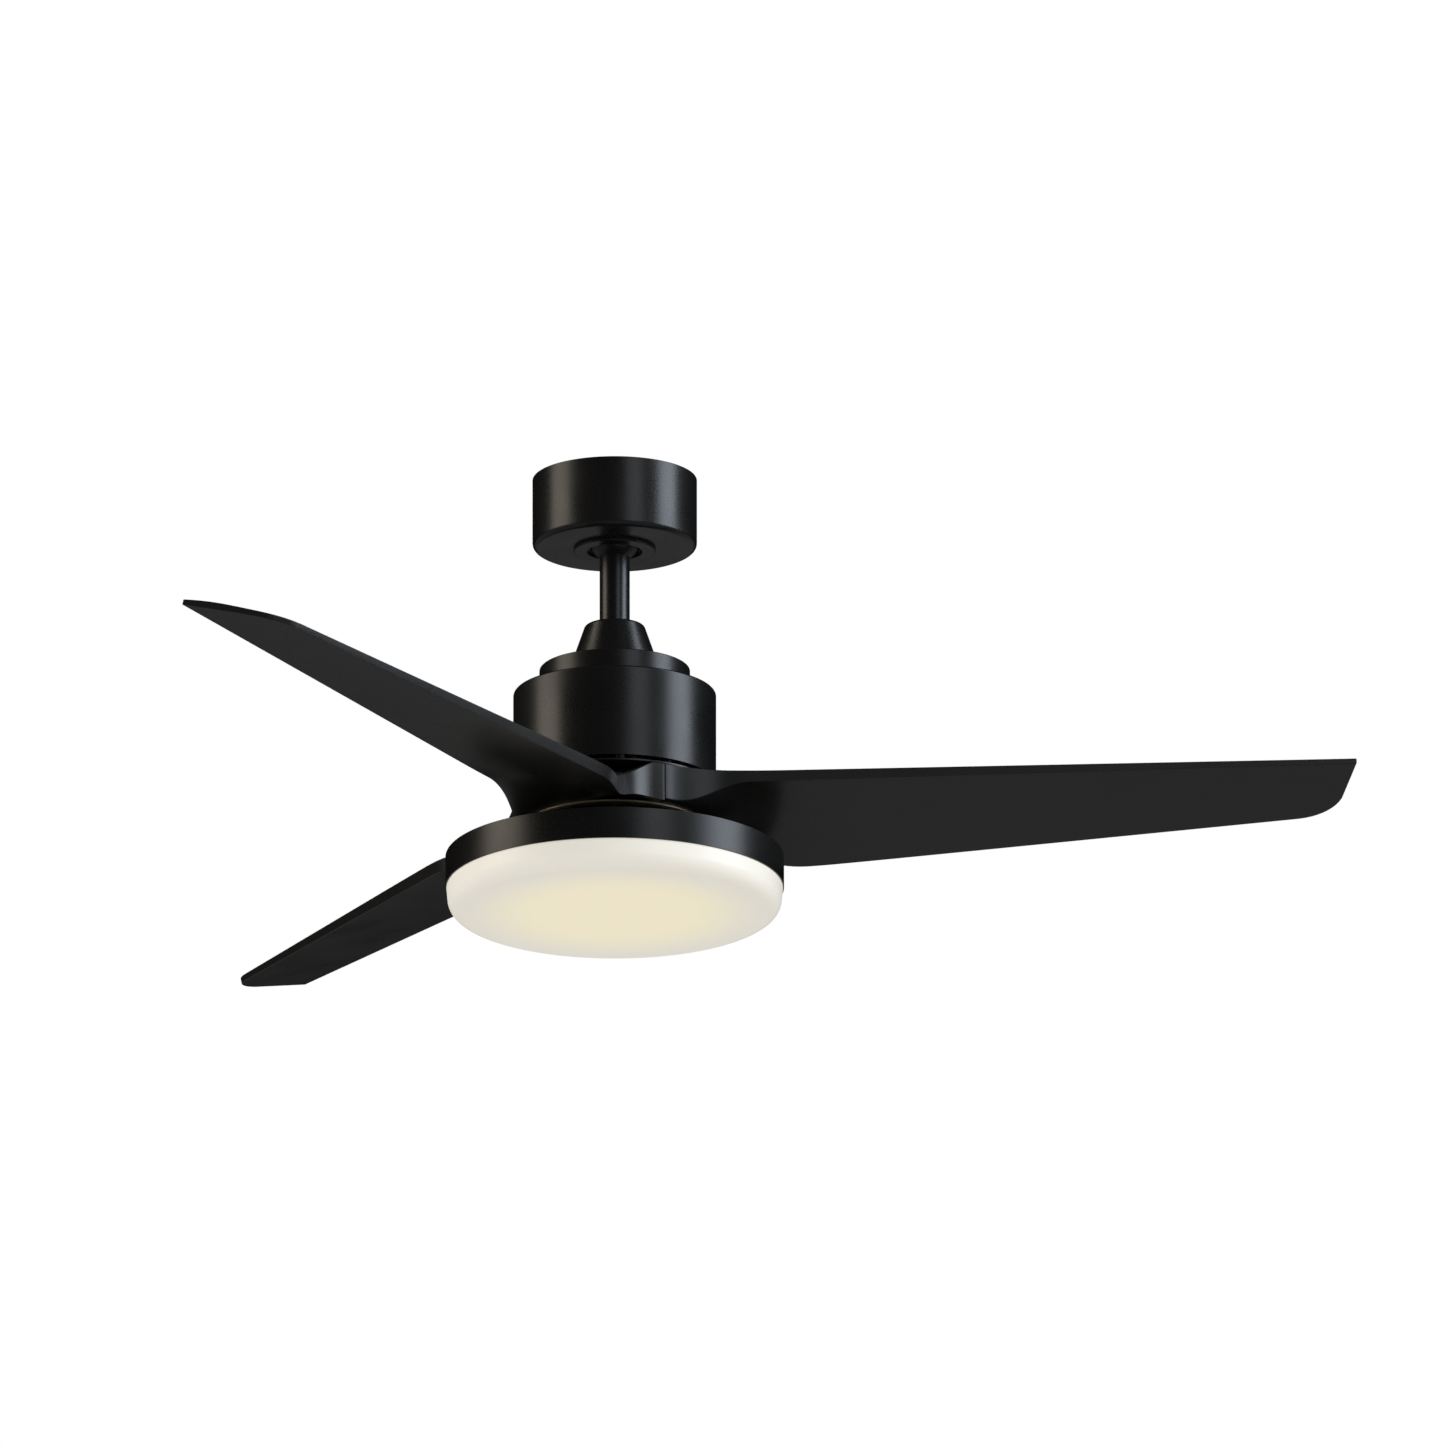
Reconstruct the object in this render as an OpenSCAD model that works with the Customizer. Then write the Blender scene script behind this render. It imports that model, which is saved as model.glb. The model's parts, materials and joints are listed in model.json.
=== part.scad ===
// Ceiling fan: canopy and hanger ball, short downrod, external-rotor motor, three pitched blades
// and a round LED light kit. Millimetres. The origin is on the fan's axis in the ceiling plane,
// +Z up. The first blade points along +X and the fan turns about Z.

/* [Canopy and hanger] */
// Outside radius of the canopy
canopy_r = 72.8; // [72:0.2:76]
// Height of the canopy
canopy_h = 63.6; // [62:0.2:68]
// Radius of the fillet round the canopy's lower edge
canopy_fillet = 5.1; // [3:0.1:7]
// Radius of the hole that the downrod hangs through
canopy_hole_r = 24.4; // [23.4:0.1:25]
// Outside radius of the trim ring under the canopy
trim_r = 36.3; // [35:0.1:40]
// Height of the trim ring
trim_h = 3.0; // [2.8:0.1:4]
// Radius of the hanger ball
ball_r = 25.5; // [25:0.1:26]
// Depth of the ball's centre above the canopy's lower face
ball_lift = 13.2; // [12.8:0.1:14]
// Distance between the two screws into the ceiling outlet box
box_screw_pitch = 88.9; // [88:0.1:95]
// Radius of the holes for those screws
box_screw_hole_r = 2.6; // [2.2:0.1:3]

/* [Downrod and coupling] */
// Outside radius of the downrod
rod_r = 13.35; // [13:0.05:13.6]
// Bore radius of the downrod
rod_bore_r = 10.6; // [10.4:0.1:11]
// Depth of the coupling cover's top below the ceiling
cone_top_depth = 135.2; // [134:0.2:160]
// Height of the coupling cover
cone_h = 40.7; // [40:0.1:48]
// Radius of the coupling cover at its top
cone_top_r = 27.0; // [26:0.1:30]
// Radius of the coupling cover at its foot
cone_foot_r = 40.3; // [40:0.1:46]

/* [Motor] */
// Radius of the motor's top cover
step_r = 66.7; // [66:0.1:72]
// Height of the motor's top cover
step_h = 22.5; // [22:0.1:26]
// Outside radius of the motor housing and of the blade hub
housing_r = 89.8; // [89:0.1:94]
// Height of the motor housing
housing_h = 83.0; // [82.6:0.1:90]
// Number of teeth on the stator
teeth = 12; // [9:3:12]
// Number of rotor magnets
magnets = 16; // [12:2:20]
// Number of balls in each bearing
balls = 10; // [8:1:12]

/* [Blades] */
// Distance of the straight leading edge from the blade's radial line
lead_edge_v = 59.2; // [56:0.2:61]
// Reach of the leading edge's tip corner along the radial line
tip_u = 657.7; // [560:0.1:760]
// Fall of the blade across its chord
pitch_fall = 0.2445; // [0.2:0.0005:0.26]
// Rise of the blade towards its tip
tip_rise = 0.0306; // [0.02:0.0002:0.04]
// Distance of the trailing edge line from the radial line, where it crosses the axis
trail_edge_v = 109.96; // [108:0.02:112]
// Taper of the trailing edge line
trail_taper = 0.1294; // [0.12:0.0002:0.135]
// Slant of the blade's tip
tip_slant = 0.23; // [0.2:0.01:0.26]
// Radius of the tip's trailing corner
tip_corner_r = 48; // [40:1:50]

/* [Light kit] */
// Outside radius of the light pan
pan_r = 149.9; // [149:0.1:156]
// Height of the light pan
pan_h = 28.5; // [28:0.1:32]
// Depth of the lens below the pan
lens_h = 23.1; // [22:0.1:26]
// Outside radius of the lens where it meets the pan
lens_r = 149.0; // [148.4:0.1:149]
// Radius of the lens where its lower corner begins to round
lens_foot_r = 146.9; // [146:0.1:148]
// Radius round the lens's lower corner
lens_corner_r = 13; // [10:0.5:15]
// Number of LEDs on each of the four rings, counted per ring number
led_step = 8; // [6:1:8]

/* [Hidden] */
$fn = 96;
eps = 1;            // how far a cutter runs past what it cuts
slip = 0.1;         // clearance round a screw or shaft in its hole, in one body
BLACK = "#1c1c1b";
STEEL = "#b8babb";
ZINC = "#c9b98a";
COPPER = "#b5703a";
BOARD = "#1f5d3a";
WHITE = "#f2efe6";

// Heights, stacked downwards from the ceiling
canopy_z = -canopy_h;
canopy_wall = 1.2;
ball_z = canopy_z + ball_lift;
cone_top_z = -cone_top_depth;
step_z = cone_top_z - cone_h;
housing_z = step_z - step_h;
housing_foot_z = housing_z - housing_h;
flange_z = housing_foot_z - 3.2;
hub_z = flange_z - 1.9;
hub_h = 33.5;
hub_foot_z = hub_z - hub_h;
clamp_h = 2.0;
clamp_foot_z = hub_foot_z - clamp_h;
neck_z = clamp_foot_z - 2.0;
pan_z = hub_foot_z - 28.7;
pan_foot_z = pan_z - pan_h;
lens_gap = 0.3;
lens_z = pan_foot_z - lens_gap;
lens_foot_z = lens_z - lens_h;

// Hanger bracket
plate_x = 110;
plate_y = 40;
plate_t = 2;
leg_x = 36;
base_z = canopy_z + canopy_wall;
base_r = 38;
socket_r = ball_r + 0.3;
socket_wall_r = 33;
socket_rise = 3;         // height of the socket's wall above the ball's centre
wire_hole_r = 13;
ground_x = -29;
ground_y = 12;
canopy_screw_r = 29.5;
tab_r = 1.9;
receiver = [44, 92, 17.2];
receiver_lead_r = 4;
terminal = [12, 28, 14];
terminal_z = -44;

// Shank radii of the machine screws, and how far each group stands from the axis
screw_r = 1.9;
small_screw_r = 1.5;
bell_screw_r = 1.1;
bolt_r = 2;
coupler_ring = 26;
cover_ring = 34;
housing_ring = 50;

// Rod ends, pins and the coupler
pin_r = 3;
ball_pin_z = ball_z + 13.4;
rod_top_z = ball_z + 21.4;
collar_top_z = cone_top_z - 14.8;
collar_r = 20;
coupler_pin_z = collar_top_z - 10;
coupler_screw_z = collar_top_z - 16;
rod_foot_z = collar_top_z - 22;
shaft_r = 12.5;
shaft_bore_r = 10.2;
shaft_top_z = rod_foot_z - 6;
plate_top_z = housing_z - 1.5;
coupler_flange_r = 30;
lead_r = 3;
lead_y = 6.6;

// Motor
sheet = 1.5;
housing_edge_r = 2.2;
motor_plate_h = 4;
bell_top_z = plate_top_z - motor_plate_h - 1.5;
bell_r = 80;
bell_wall = 4;
bell_foot_z = housing_foot_z + 11.4;
base_foot_z = flange_z;
board_z = housing_z + 4.8;
board_t = 1.6;
board_mid_r = 51;
spacer_ring = 57;
race_r = 21;
race_w = 9;
ball_pitch_r = 16.75;
bearing_ball_r = 2.7;
upper_bearing_z = bell_top_z - 6.1;
lower_bearing_z = bell_foot_z - 7;
stator_r = 71;
magnet_t = 3.6;
stack_top_z = bell_top_z - 16.6;
stack_h = 36;
core_hub_r = 30;                 // stator core inside its teeth
tooth_w = 9;
shoe_h = 5;
coil = [28, 14, 5];              // each coil's length, width and overhang beyond the stack
coil_gap = 0.2;
bell_ring = bell_r - 2;
blade_screw_r = 56;
blade_screw_angles = [-35, 0, 35];
blade_pitch = 120;

// Light kit
fitter_z = neck_z - 11;
fitter_h = 2;
fitter_r = 62;
nut_r = 20;
nut_h = 5;
neck_r = 73;
pan_screw_r = 50;
pan_sheet = 1.3;
neck_hole_r = 24;
pan_hole_r = 20;
tray_r = 138;
tray_z = pan_z - 16.3;
tray_t = 1.5;
wire_r = 12;                     // hole for the leads in the tray and the board
standoff_r = 128;
led_board_r = 120;
led_board_t = 1.6;
led = [3.5, 3.5, 0.8];
led_ring_pitch = 26;
driver = [100, 44, 12];
driver_y = 26;
driver_foot_x = 44;
catch_lift = 5;                  // height of the catches' ledges above the lens's rim
collar_lens_r = 144.5;
lens_wall = 2.4;
lens_collar_h = 10;
lug_w = 3.3;
led_board_z = tray_z - tray_t - led_board_t;

// Blade surface, in the blade's own u (outwards) and v (towards the trailing edge)
plane_z = hub_foot_z + 3.9;      // height of the underside's plane on the axis
root_edge_v = 53.5;              // where the inboard edge meets the hub circle
root_edge_u = 72.5;
root_slope = 0.42;
root_corner_blend = 7;
root_lead_u = 124;               // where the underside starts to fall to the hub, leading side
root_trail_u = 150;              // and on the trailing side
root_start_u = 62;
edge_t0 = 11.4;                  // edge thickness on the axis and its loss outwards
edge_loss = 0.0104;
crown = 1.6;
chord_steps = 8;
recess_z = hub_z - 12.4;
scoop_from = 24;                 // angles of the scoop's start, span and ramp, and its slope
scoop_span = 30;
scoop_mid = 44;
scoop_rise = 26;
scoop_inner_r = 66;
hub_bore_r = 42;
clamp_r = 80;
seam = 0.15;                     // half the gap between two blades' hub sectors

trail_angle = atan(trail_taper);
slant_angle = atan(tip_slant);
tip_end_u = tip_u - 0.25;
// Corner where the trailing edge line meets the tip line, and the circle that rounds it
corner_u = (tip_u - tip_slant * (trail_edge_v + lead_edge_v)) / (1 - tip_slant * trail_taper);
corner_v = trail_edge_v - trail_taper * corner_u;
corner_cut = tip_corner_r * tan((90 - trail_angle - slant_angle) / 2);
round_start_u = corner_u - corner_cut * cos(trail_angle);
round_end_u = corner_u + corner_cut * sin(slant_angle);
round_u = round_start_u - tip_corner_r * sin(trail_angle);
round_v = corner_v + corner_cut * sin(trail_angle) - tip_corner_r * cos(trail_angle);

function mix(a, b, t) = a + (b - a) * t;
function clamp01(t) = min(1, max(0, t));
function smooth(t) = let (c = clamp01(t)) c * c * (3 - 2 * c);
function soft_min(a, b, k) = (a + b - sqrt((a - b) * (a - b) + k * k)) / 2;

// Trailing side of the outline at a distance u from the axis
function trail_v(u) =
    let (edge = trail_edge_v - trail_taper * u,
         root = root_edge_v + root_slope * (u - root_edge_u))
    u < round_start_u ? soft_min(edge, root, root_corner_blend)
    : u < round_end_u ? round_v + sqrt(tip_corner_r * tip_corner_r - pow(u - round_u, 2))
    : -lead_edge_v + (tip_u - u) / tip_slant;

function chord_v(u, w) = mix(-lead_edge_v, trail_v(u), w);
function plane(u, v) = plane_z + tip_rise * u - pitch_fall * v;
function thick(u, w) = edge_t0 - edge_loss * u + crown * 4 * w * (1 - w);
// Share of the hub in the surface: 0 on the blade, 1 at the hub circle
function root_share(u, w) =
    let (outer = mix(root_lead_u, root_trail_u, w))
    pow(clamp01((outer - u) / (outer - root_start_u - 4)), 2);
function under_z(u, w) =
    mix(plane(u, chord_v(u, w)), hub_foot_z + 0.2 + 7 * smooth((w - 0.7) / 0.3), root_share(u, w));
function upper_z(u, w) =
    mix(plane(u, chord_v(u, w)) + thick(u, w),
        mix(hub_z - 0.6, recess_z, smooth((w - 0.5) / 0.35)), root_share(u, w));

// Stations along the blade: close together at the root and round the tip
blade_stations = concat(
    [for (i = [0:14]) root_start_u + i * 8],
    [for (i = [0:8]) 200 + i * (round_start_u - 200) / 8],
    [for (a = [12:12:60]) round_u + tip_corner_r * sin(trail_angle + a)],
    [for (i = [0:3]) mix(round_end_u, tip_end_u, i / 3)]
);
function section(u) = concat(
    [for (i = [0:chord_steps]) [u, chord_v(u, i / chord_steps), under_z(u, i / chord_steps)]],
    [for (i = [chord_steps:-1:0]) [u, chord_v(u, i / chord_steps), upper_z(u, i / chord_steps)]]
);

// ---------- shared shapes ----------

module ring(outer, inner, z_low, z_high) {
    translate([0, 0, z_low]) difference() {
        cylinder(r = outer, h = z_high - z_low);
        translate([0, 0, -eps]) cylinder(r = inner, h = z_high - z_low + 2 * eps);
    }
}

module disc(r, z_low, z_high) {
    translate([0, 0, z_low]) cylinder(r = r, h = z_high - z_low);
}

module around(count, r, first = 0) {
    for (i = [0:count - 1]) rotate([0, 0, first + i * 360 / count]) translate([r, 0, 0]) children();
}

// Points of an arc, counter-clockwise from one angle to the other
function arc(cx, cy, r, from, to, steps = 8) =
    [for (i = [0:steps]) let (a = mix(from, to, i / steps)) [cx + r * cos(a), cy + r * sin(a)]];

// A machine screw along Z: its head rests on z = 0 and stands up, its shank points down
module screw(head_r, head_h, shank_r, length) {
    difference() {
        union() {
            cylinder(r = head_r, h = head_h);
            translate([0, 0, -length]) cylinder(r = shank_r, h = length + head_h / 2);
        }
        for (a = [0, 90]) rotate([0, 0, a])
            translate([-head_r * 0.6, -0.4, head_h * 0.45]) cube([head_r * 1.2, 0.8, head_h]);
    }
}

// Skin of triangles over closed loops that all have the same number of points
module skin(loops) {
    n = len(loops[0]);
    last = len(loops) - 1;
    points = [for (loop = loops) for (p = loop) p];
    sides = [for (i = [0:last - 1]) for (j = [0:n - 1])
        let (a = i * n + j, b = i * n + (j + 1) % n, c = b + n, d = a + n)
        each [[a, d, b], [b, d, c]]];
    half = n / 2;
    strip = function(base, j) [base + j, base + j + 1, base + n - 2 - j, base + n - 1 - j];
    first_cap = [for (j = [0:half - 2]) let (q = strip(0, j))
        each [[q[0], q[1], q[2]], [q[0], q[2], q[3]]]];
    last_cap = [for (j = [0:half - 2]) let (q = strip(last * n, j))
        each [[q[2], q[1], q[0]], [q[3], q[2], q[0]]]];
    polyhedron(points, concat(sides, first_cap, last_cap), convexity = 6);
}

// ---------- ceiling mount ----------

module hanger_bracket() color(STEEL) difference() {
    union() {
        translate([-plate_x / 2, -plate_y / 2, -plate_t]) cube([plate_x, plate_y, plate_t]);
        for (side = [0, 180]) rotate([0, 0, side])
            translate([leg_x, -plate_y / 2, base_z]) cube([plate_t, plate_y, -base_z]);
        disc(base_r, base_z, base_z + plate_t);
        disc(socket_wall_r, base_z, ball_z + socket_rise);
    }
    difference() {
        translate([0, 0, ball_z]) sphere(r = socket_r);
        translate([0, socket_wall_r, ball_z]) rotate([90, 0, 0])
            cylinder(r = tab_r, h = socket_wall_r - ball_r + 2.3);
    }
    disc(wire_hole_r, -plate_t - eps, eps);
    around(2, box_screw_pitch / 2) disc(box_screw_hole_r, -plate_t - eps, eps);
    around(2, canopy_screw_r, 45) disc(screw_r + slip, base_z - eps, base_z + 9);
    translate([ground_x, ground_y, 0]) disc(bolt_r + slip, -plate_t - eps, eps);
}

module canopy() color(BLACK) difference() {
    rotate_extrude() polygon(concat(
        [[canopy_hole_r, canopy_z], [canopy_r - canopy_fillet, canopy_z]],
        arc(canopy_r - canopy_fillet, canopy_z + canopy_fillet, canopy_fillet, -90, 0),
        [[canopy_r, 0], [canopy_r - canopy_wall, 0]],
        arc(canopy_r - canopy_fillet, canopy_z + canopy_fillet, canopy_fillet - canopy_wall, 0, -90),
        [[canopy_hole_r, canopy_z + canopy_wall]]
    ));
    around(2, canopy_screw_r, 45) disc(screw_r + slip, canopy_z - eps, base_z + eps);
}

module canopy_trim_ring() color(BLACK) rotate_extrude() polygon(concat(
    [[canopy_hole_r, canopy_z], [canopy_hole_r, canopy_z - trim_h + 0.5],
     [canopy_hole_r + 0.5, canopy_z - trim_h]],
    arc(trim_r - 1.2, canopy_z - trim_h + 1.2, 1.2, -90, 0, 5),
    [[trim_r, canopy_z], [trim_r - 1.2, canopy_z], [trim_r - 1.2, canopy_z - 2],
     [canopy_hole_r + 1, canopy_z - 2], [canopy_hole_r + 1, canopy_z]]
));

module canopy_screws() color(STEEL) around(2, canopy_screw_r, 45)
    translate([0, 0, canopy_z]) mirror([0, 0, 1]) screw(3.4, 1.7, screw_r, 9);

module receiver_case() color(BLACK) difference() {
    top_z = -plate_t - 0.3;
    translate([-receiver.x / 2, -receiver.y / 2, top_z - receiver.z]) cube(receiver);
    for (side = [-1, 1]) translate([0, side * receiver.y / 2, top_z - receiver.z / 2])
        rotate([90, 0, 0]) cylinder(r = receiver_lead_r, h = 6, center = true);
}

module terminal_block() color(WHITE) difference() {
    outer_x = -leg_x - plate_t;
    translate([outer_x - terminal.x, -terminal.y / 2, terminal_z]) cube(terminal);
    for (y = [-9, 0, 9]) translate([outer_x - terminal.x / 2, y, terminal_z - eps])
        cylinder(r = 2, h = 9);
}

module ground_screw() color("green")
    translate([ground_x, ground_y, -plate_t]) mirror([0, 0, 1]) screw(3.6, 2, bolt_r, 2);

// ---------- hanging stem ----------

module hanger_ball() color(BLACK) difference() {
    translate([0, 0, ball_z]) sphere(r = ball_r);
    disc(rod_r + slip, ball_z - ball_r - eps, ball_z + ball_r + eps);
    translate([-ball_r, -ball_r, ball_z + 17]) cube([2 * ball_r, 2 * ball_r, ball_r]);
    translate([-ball_r, -pin_r - slip, ball_pin_z - pin_r - slip])
        cube([2 * ball_r, 2 * (pin_r + slip), ball_r]);
    translate([-tab_r - 0.6, ball_r - 3.3, ball_z - 14]) cube([2 * tab_r + 1.2, ball_r, 28]);
    translate([0, 0, ball_z]) rotate([90, 0, 0]) cylinder(r = bolt_r + slip, h = ball_r + eps);
}

module ball_cross_pin() color(STEEL)
    translate([-20, 0, ball_pin_z]) rotate([0, 90, 0]) cylinder(r = pin_r, h = 40);

module ball_set_screw() color(STEEL)
    translate([0, -rod_r - slip, ball_z]) rotate([90, 0, 0]) cylinder(r = bolt_r, h = 11);

module downrod() color(BLACK) difference() {
    ring(rod_r, rod_bore_r, rod_foot_z, rod_top_z);
    for (z = [ball_pin_z, coupler_pin_z]) translate([-rod_r - eps, 0, z])
        rotate([0, 90, 0]) cylinder(r = pin_r + slip, h = 2 * (rod_r + eps));
}

module lead_bundle() color("#3a3a38") translate([0, lead_y, 0]) disc(lead_r, pan_z - 2, rod_top_z + 2);

module lead_connector() color(WHITE) translate([-6, lead_y - 4, rod_top_z + 2]) cube([12, 8, 6]);

module coupling_cover() color(BLACK) rotate_extrude() polygon(concat(
    [[rod_r + 0.5, cone_top_z - sheet], [rod_r + 0.5, cone_top_z]],
    arc(cone_top_r - 4, cone_top_z - 4, 4, 90, 19),
    [[cone_foot_r, step_z], [cone_foot_r - sheet, step_z]],
    arc(cone_top_r - 4.2, cone_top_z - 4.2, 4.2 - sheet, 19, 90)
));

module rod_coupler() color(STEEL) difference() {
    union() {
        disc(collar_r, plate_top_z + eps, collar_top_z);
        disc(coupler_flange_r, plate_top_z, plate_top_z + 5);
    }
    disc(rod_r + slip, rod_foot_z - 0.3, collar_top_z + eps);
    disc(shaft_bore_r, plate_top_z - eps, rod_foot_z);
    disc(shaft_r + slip, plate_top_z - eps, shaft_top_z);
    translate([-collar_r - eps, 0, coupler_pin_z]) rotate([0, 90, 0])
        cylinder(r = pin_r + slip, h = 2 * (collar_r + eps));
    translate([0, collar_r + eps, coupler_screw_z]) rotate([90, 0, 0])
        cylinder(r = bolt_r + slip, h = 2 * (collar_r + eps));
    around(4, coupler_ring, 45) disc(screw_r + slip, plate_top_z - eps, plate_top_z + 6);
}

module coupler_pin() color(STEEL) translate([0, 0, coupler_pin_z]) rotate([0, 90, 0]) difference() {
    union() {
        translate([0, 0, -collar_r - slip]) cylinder(r = pin_r, h = 2 * collar_r + 5);
        translate([0, 0, -collar_r - slip - 2]) cylinder(r = 4.6, h = 2);
    }
    translate([-6, 0, collar_r + 2.5]) rotate([0, 90, 0]) cylinder(r = 0.9, h = 12);
}

module pin_clip() color(STEEL) translate([collar_r + 2.5 - slip, 0, coupler_pin_z]) {
    translate([0, 0, -6]) cylinder(r = 0.75, h = 13);
    translate([0, 4.4, -6]) cylinder(r = 0.75, h = 11);
    translate([0, 2.2, -6]) rotate([0, 90, 0]) rotate([0, 0, -90])
        rotate_extrude(angle = 180) translate([2.2, 0]) circle(r = 0.75, $fn = 24);
}

module coupler_set_screws() color(STEEL) for (side = [0, 180]) rotate([0, 0, side])
    translate([0, rod_r + slip, coupler_screw_z]) rotate([-90, 0, 0]) cylinder(r = bolt_r, h = 8);

module coupler_screws() color(STEEL)
    around(4, coupler_ring, 45) translate([0, 0, plate_top_z + 5]) screw(3.2, 2.6, screw_r, 8.5);

// ---------- motor ----------

module motor_top_cover() color(BLACK) difference() {
    rotate_extrude() polygon(concat(
        [[collar_r + 2, step_z - sheet], [collar_r + 2, step_z]],
        arc(step_r - 1.2, step_z - 1.2, 1.2, 90, 0, 5),
        [[step_r, housing_z], [step_r - sheet, housing_z], [step_r - sheet, step_z - sheet]]
    ));
    around(3, cover_ring) disc(small_screw_r + slip, step_z - 2 * eps, step_z + eps);
}

module top_cover_screws() color(STEEL) around(3, cover_ring)
    translate([0, 0, step_z]) screw(2.8, 1.7, small_screw_r, 9);

module cover_standoffs() color(STEEL) difference() {
    around(3, cover_ring) disc(3, plate_top_z, step_z - sheet);
    around(3, cover_ring) disc(small_screw_r + slip, step_z - 12, step_z);
}

module control_board() color(BOARD) difference() {
    ring(62, 40, board_z, board_z + board_t);
    around(4, spacer_ring, 22.5) disc(1.2, board_z - eps, board_z + board_t + eps);
}

module board_spacers() color(WHITE) around(4, spacer_ring, 22.5) {
    disc(3, housing_z, board_z);
    disc(1.1, board_z - eps, board_z + board_t + eps);
}

module board_components() color("#2c2c34") {
    top = board_z + board_t;
    around(2, board_mid_r, 80) disc(5.5, top, top + 11);
    rotate([0, 0, 180]) translate([46, -8, top]) cube([10, 16, 8]);
    around(6, board_mid_r, 200) translate([-3, -2.5, top]) cube([6, 5, 2]);
    translate([45, -9, top]) cube([12, 18, 6]);
}

module motor_housing() color(BLACK) difference() {
    rotate_extrude() polygon(concat(
        [[coupler_flange_r + 10, housing_z - sheet], [coupler_flange_r + 10, housing_z]],
        arc(housing_r - housing_edge_r, housing_z - housing_edge_r, housing_edge_r, 90, 0, 6),
        [[housing_r, housing_foot_z], [housing_r - sheet, housing_foot_z],
         [housing_r - sheet, housing_z - housing_edge_r]],
        arc(housing_r - housing_edge_r, housing_z - housing_edge_r, housing_edge_r - sheet, 0, 90, 4)
    ));
    around(4, housing_ring) disc(screw_r + slip, housing_z - 3, housing_z + eps);
}

module motor_plate() color(STEEL) difference() {
    ring(60, shaft_r + slip, plate_top_z - motor_plate_h, plate_top_z);
    around(4, housing_ring) disc(screw_r + slip, plate_top_z - 6, plate_top_z + eps);
    around(4, coupler_ring, 45) disc(screw_r + slip, plate_top_z - 6, plate_top_z + eps);
}

module housing_screws() color(STEEL) around(4, housing_ring)
    translate([0, 0, housing_z]) screw(3.2, 2, screw_r, 5);

module motor_shaft() color(STEEL) ring(shaft_r, shaft_bore_r, fitter_z - 8, shaft_top_z);

module bearing_ring(outer, inner, z) difference() {
    ring(outer, inner, z - race_w / 2, z + race_w / 2);
    translate([0, 0, z]) rotate_extrude() translate([ball_pitch_r, 0])
        circle(r = bearing_ball_r + 0.3, $fn = 48);
}

module bearing_inner_races() color(STEEL) for (z = [upper_bearing_z, lower_bearing_z])
    bearing_ring(15.3, shaft_r + slip, z);

module bearing_outer_races() color(STEEL) for (z = [upper_bearing_z, lower_bearing_z])
    bearing_ring(race_r, 18.2, z);

module bearing_balls() color(STEEL) for (z = [upper_bearing_z, lower_bearing_z])
    around(balls, ball_pitch_r) translate([0, 0, z]) sphere(r = bearing_ball_r, $fn = 32);

module bearing_cages() color(ZINC) for (z = [upper_bearing_z, lower_bearing_z]) difference() {
    ring(17.5, 16, z - 3.6, z + 3.6);
    around(balls, ball_pitch_r) translate([0, 0, z]) sphere(r = bearing_ball_r + 0.15, $fn = 32);
}

module tooth_outline() {
    half_angle = 150 / teeth;
    reach = 90;
    translate([core_hub_r - 2, -tooth_w / 2])
        square([stator_r - shoe_h + 2 - core_hub_r, tooth_w]);
    intersection() {
        difference() {
            circle(r = stator_r);
            circle(r = stator_r - shoe_h);
        }
        polygon([[0, 0], [reach, -reach * tan(half_angle)], [reach, reach * tan(half_angle)]]);
    }
}

module stator_core() color("#5a5c60") translate([0, 0, stack_top_z - stack_h])
    linear_extrude(height = stack_h) difference() {
        union() {
            circle(r = core_hub_r);
            for (i = [0:teeth - 1]) rotate([0, 0, i * 360 / teeth]) tooth_outline();
        }
        circle(r = shaft_r + slip);
    }

module stator_windings() color(COPPER) around(teeth, 34)
    translate([0, 0, stack_top_z - stack_h / 2]) {
        inner = [coil.x + 2 * eps, tooth_w + 2 * coil_gap, stack_h + 2 * coil_gap];
        difference() {
            translate([0, -coil.y / 2, -stack_h / 2 - coil.z])
                cube([coil.x, coil.y, stack_h + 2 * coil.z]);
            translate([-eps, -inner.y / 2, -inner.z / 2]) cube(inner);
        }
    }

// ---------- rotor ----------

module rotor_bell() color(STEEL) rotate_extrude() polygon([
    [race_r + slip, bell_top_z - 11], [race_r + slip, bell_top_z], [bell_r, bell_top_z],
    [bell_r, bell_foot_z], [bell_r - bell_wall, bell_foot_z], [bell_r - bell_wall, bell_top_z - 3],
    [race_r + 4, bell_top_z - 3], [race_r + 4, bell_top_z - 11]
]);

module rotor_magnets() color("#3c3d42") {
    span = 360 / magnets - 2.5;
    for (i = [0:magnets - 1]) rotate([0, 0, i * 360 / magnets])
        translate([0, 0, stack_top_z - stack_h]) rotate_extrude(angle = span)
            translate([bell_r - bell_wall - slip - magnet_t, 0]) square([magnet_t, stack_h]);
}

module rotor_base() color(STEEL) difference() {
    union() {
        ring(bell_r, race_r + slip, bell_foot_z - 3, bell_foot_z);
        ring(race_r + 5, race_r + slip, base_foot_z, bell_foot_z - 1);
        for (b = [0:2]) for (a = blade_screw_angles) rotate([0, 0, b * blade_pitch + a])
            translate([blade_screw_r, 0, 0]) disc(5, base_foot_z, bell_foot_z - 1);
    }
    for (b = [0:2]) for (a = blade_screw_angles) rotate([0, 0, b * blade_pitch + a])
        translate([blade_screw_r, 0, 0]) disc(bolt_r + slip, base_foot_z - eps, base_foot_z + 10);
    around(6, bell_ring) disc(bell_screw_r + slip, bell_foot_z - 5, bell_foot_z + eps);
}

module bell_screws() color(STEEL) around(6, bell_ring)
    translate([0, 0, bell_foot_z - 3]) mirror([0, 0, 1]) screw(1.9, 1.6, bell_screw_r, 3);

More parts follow.
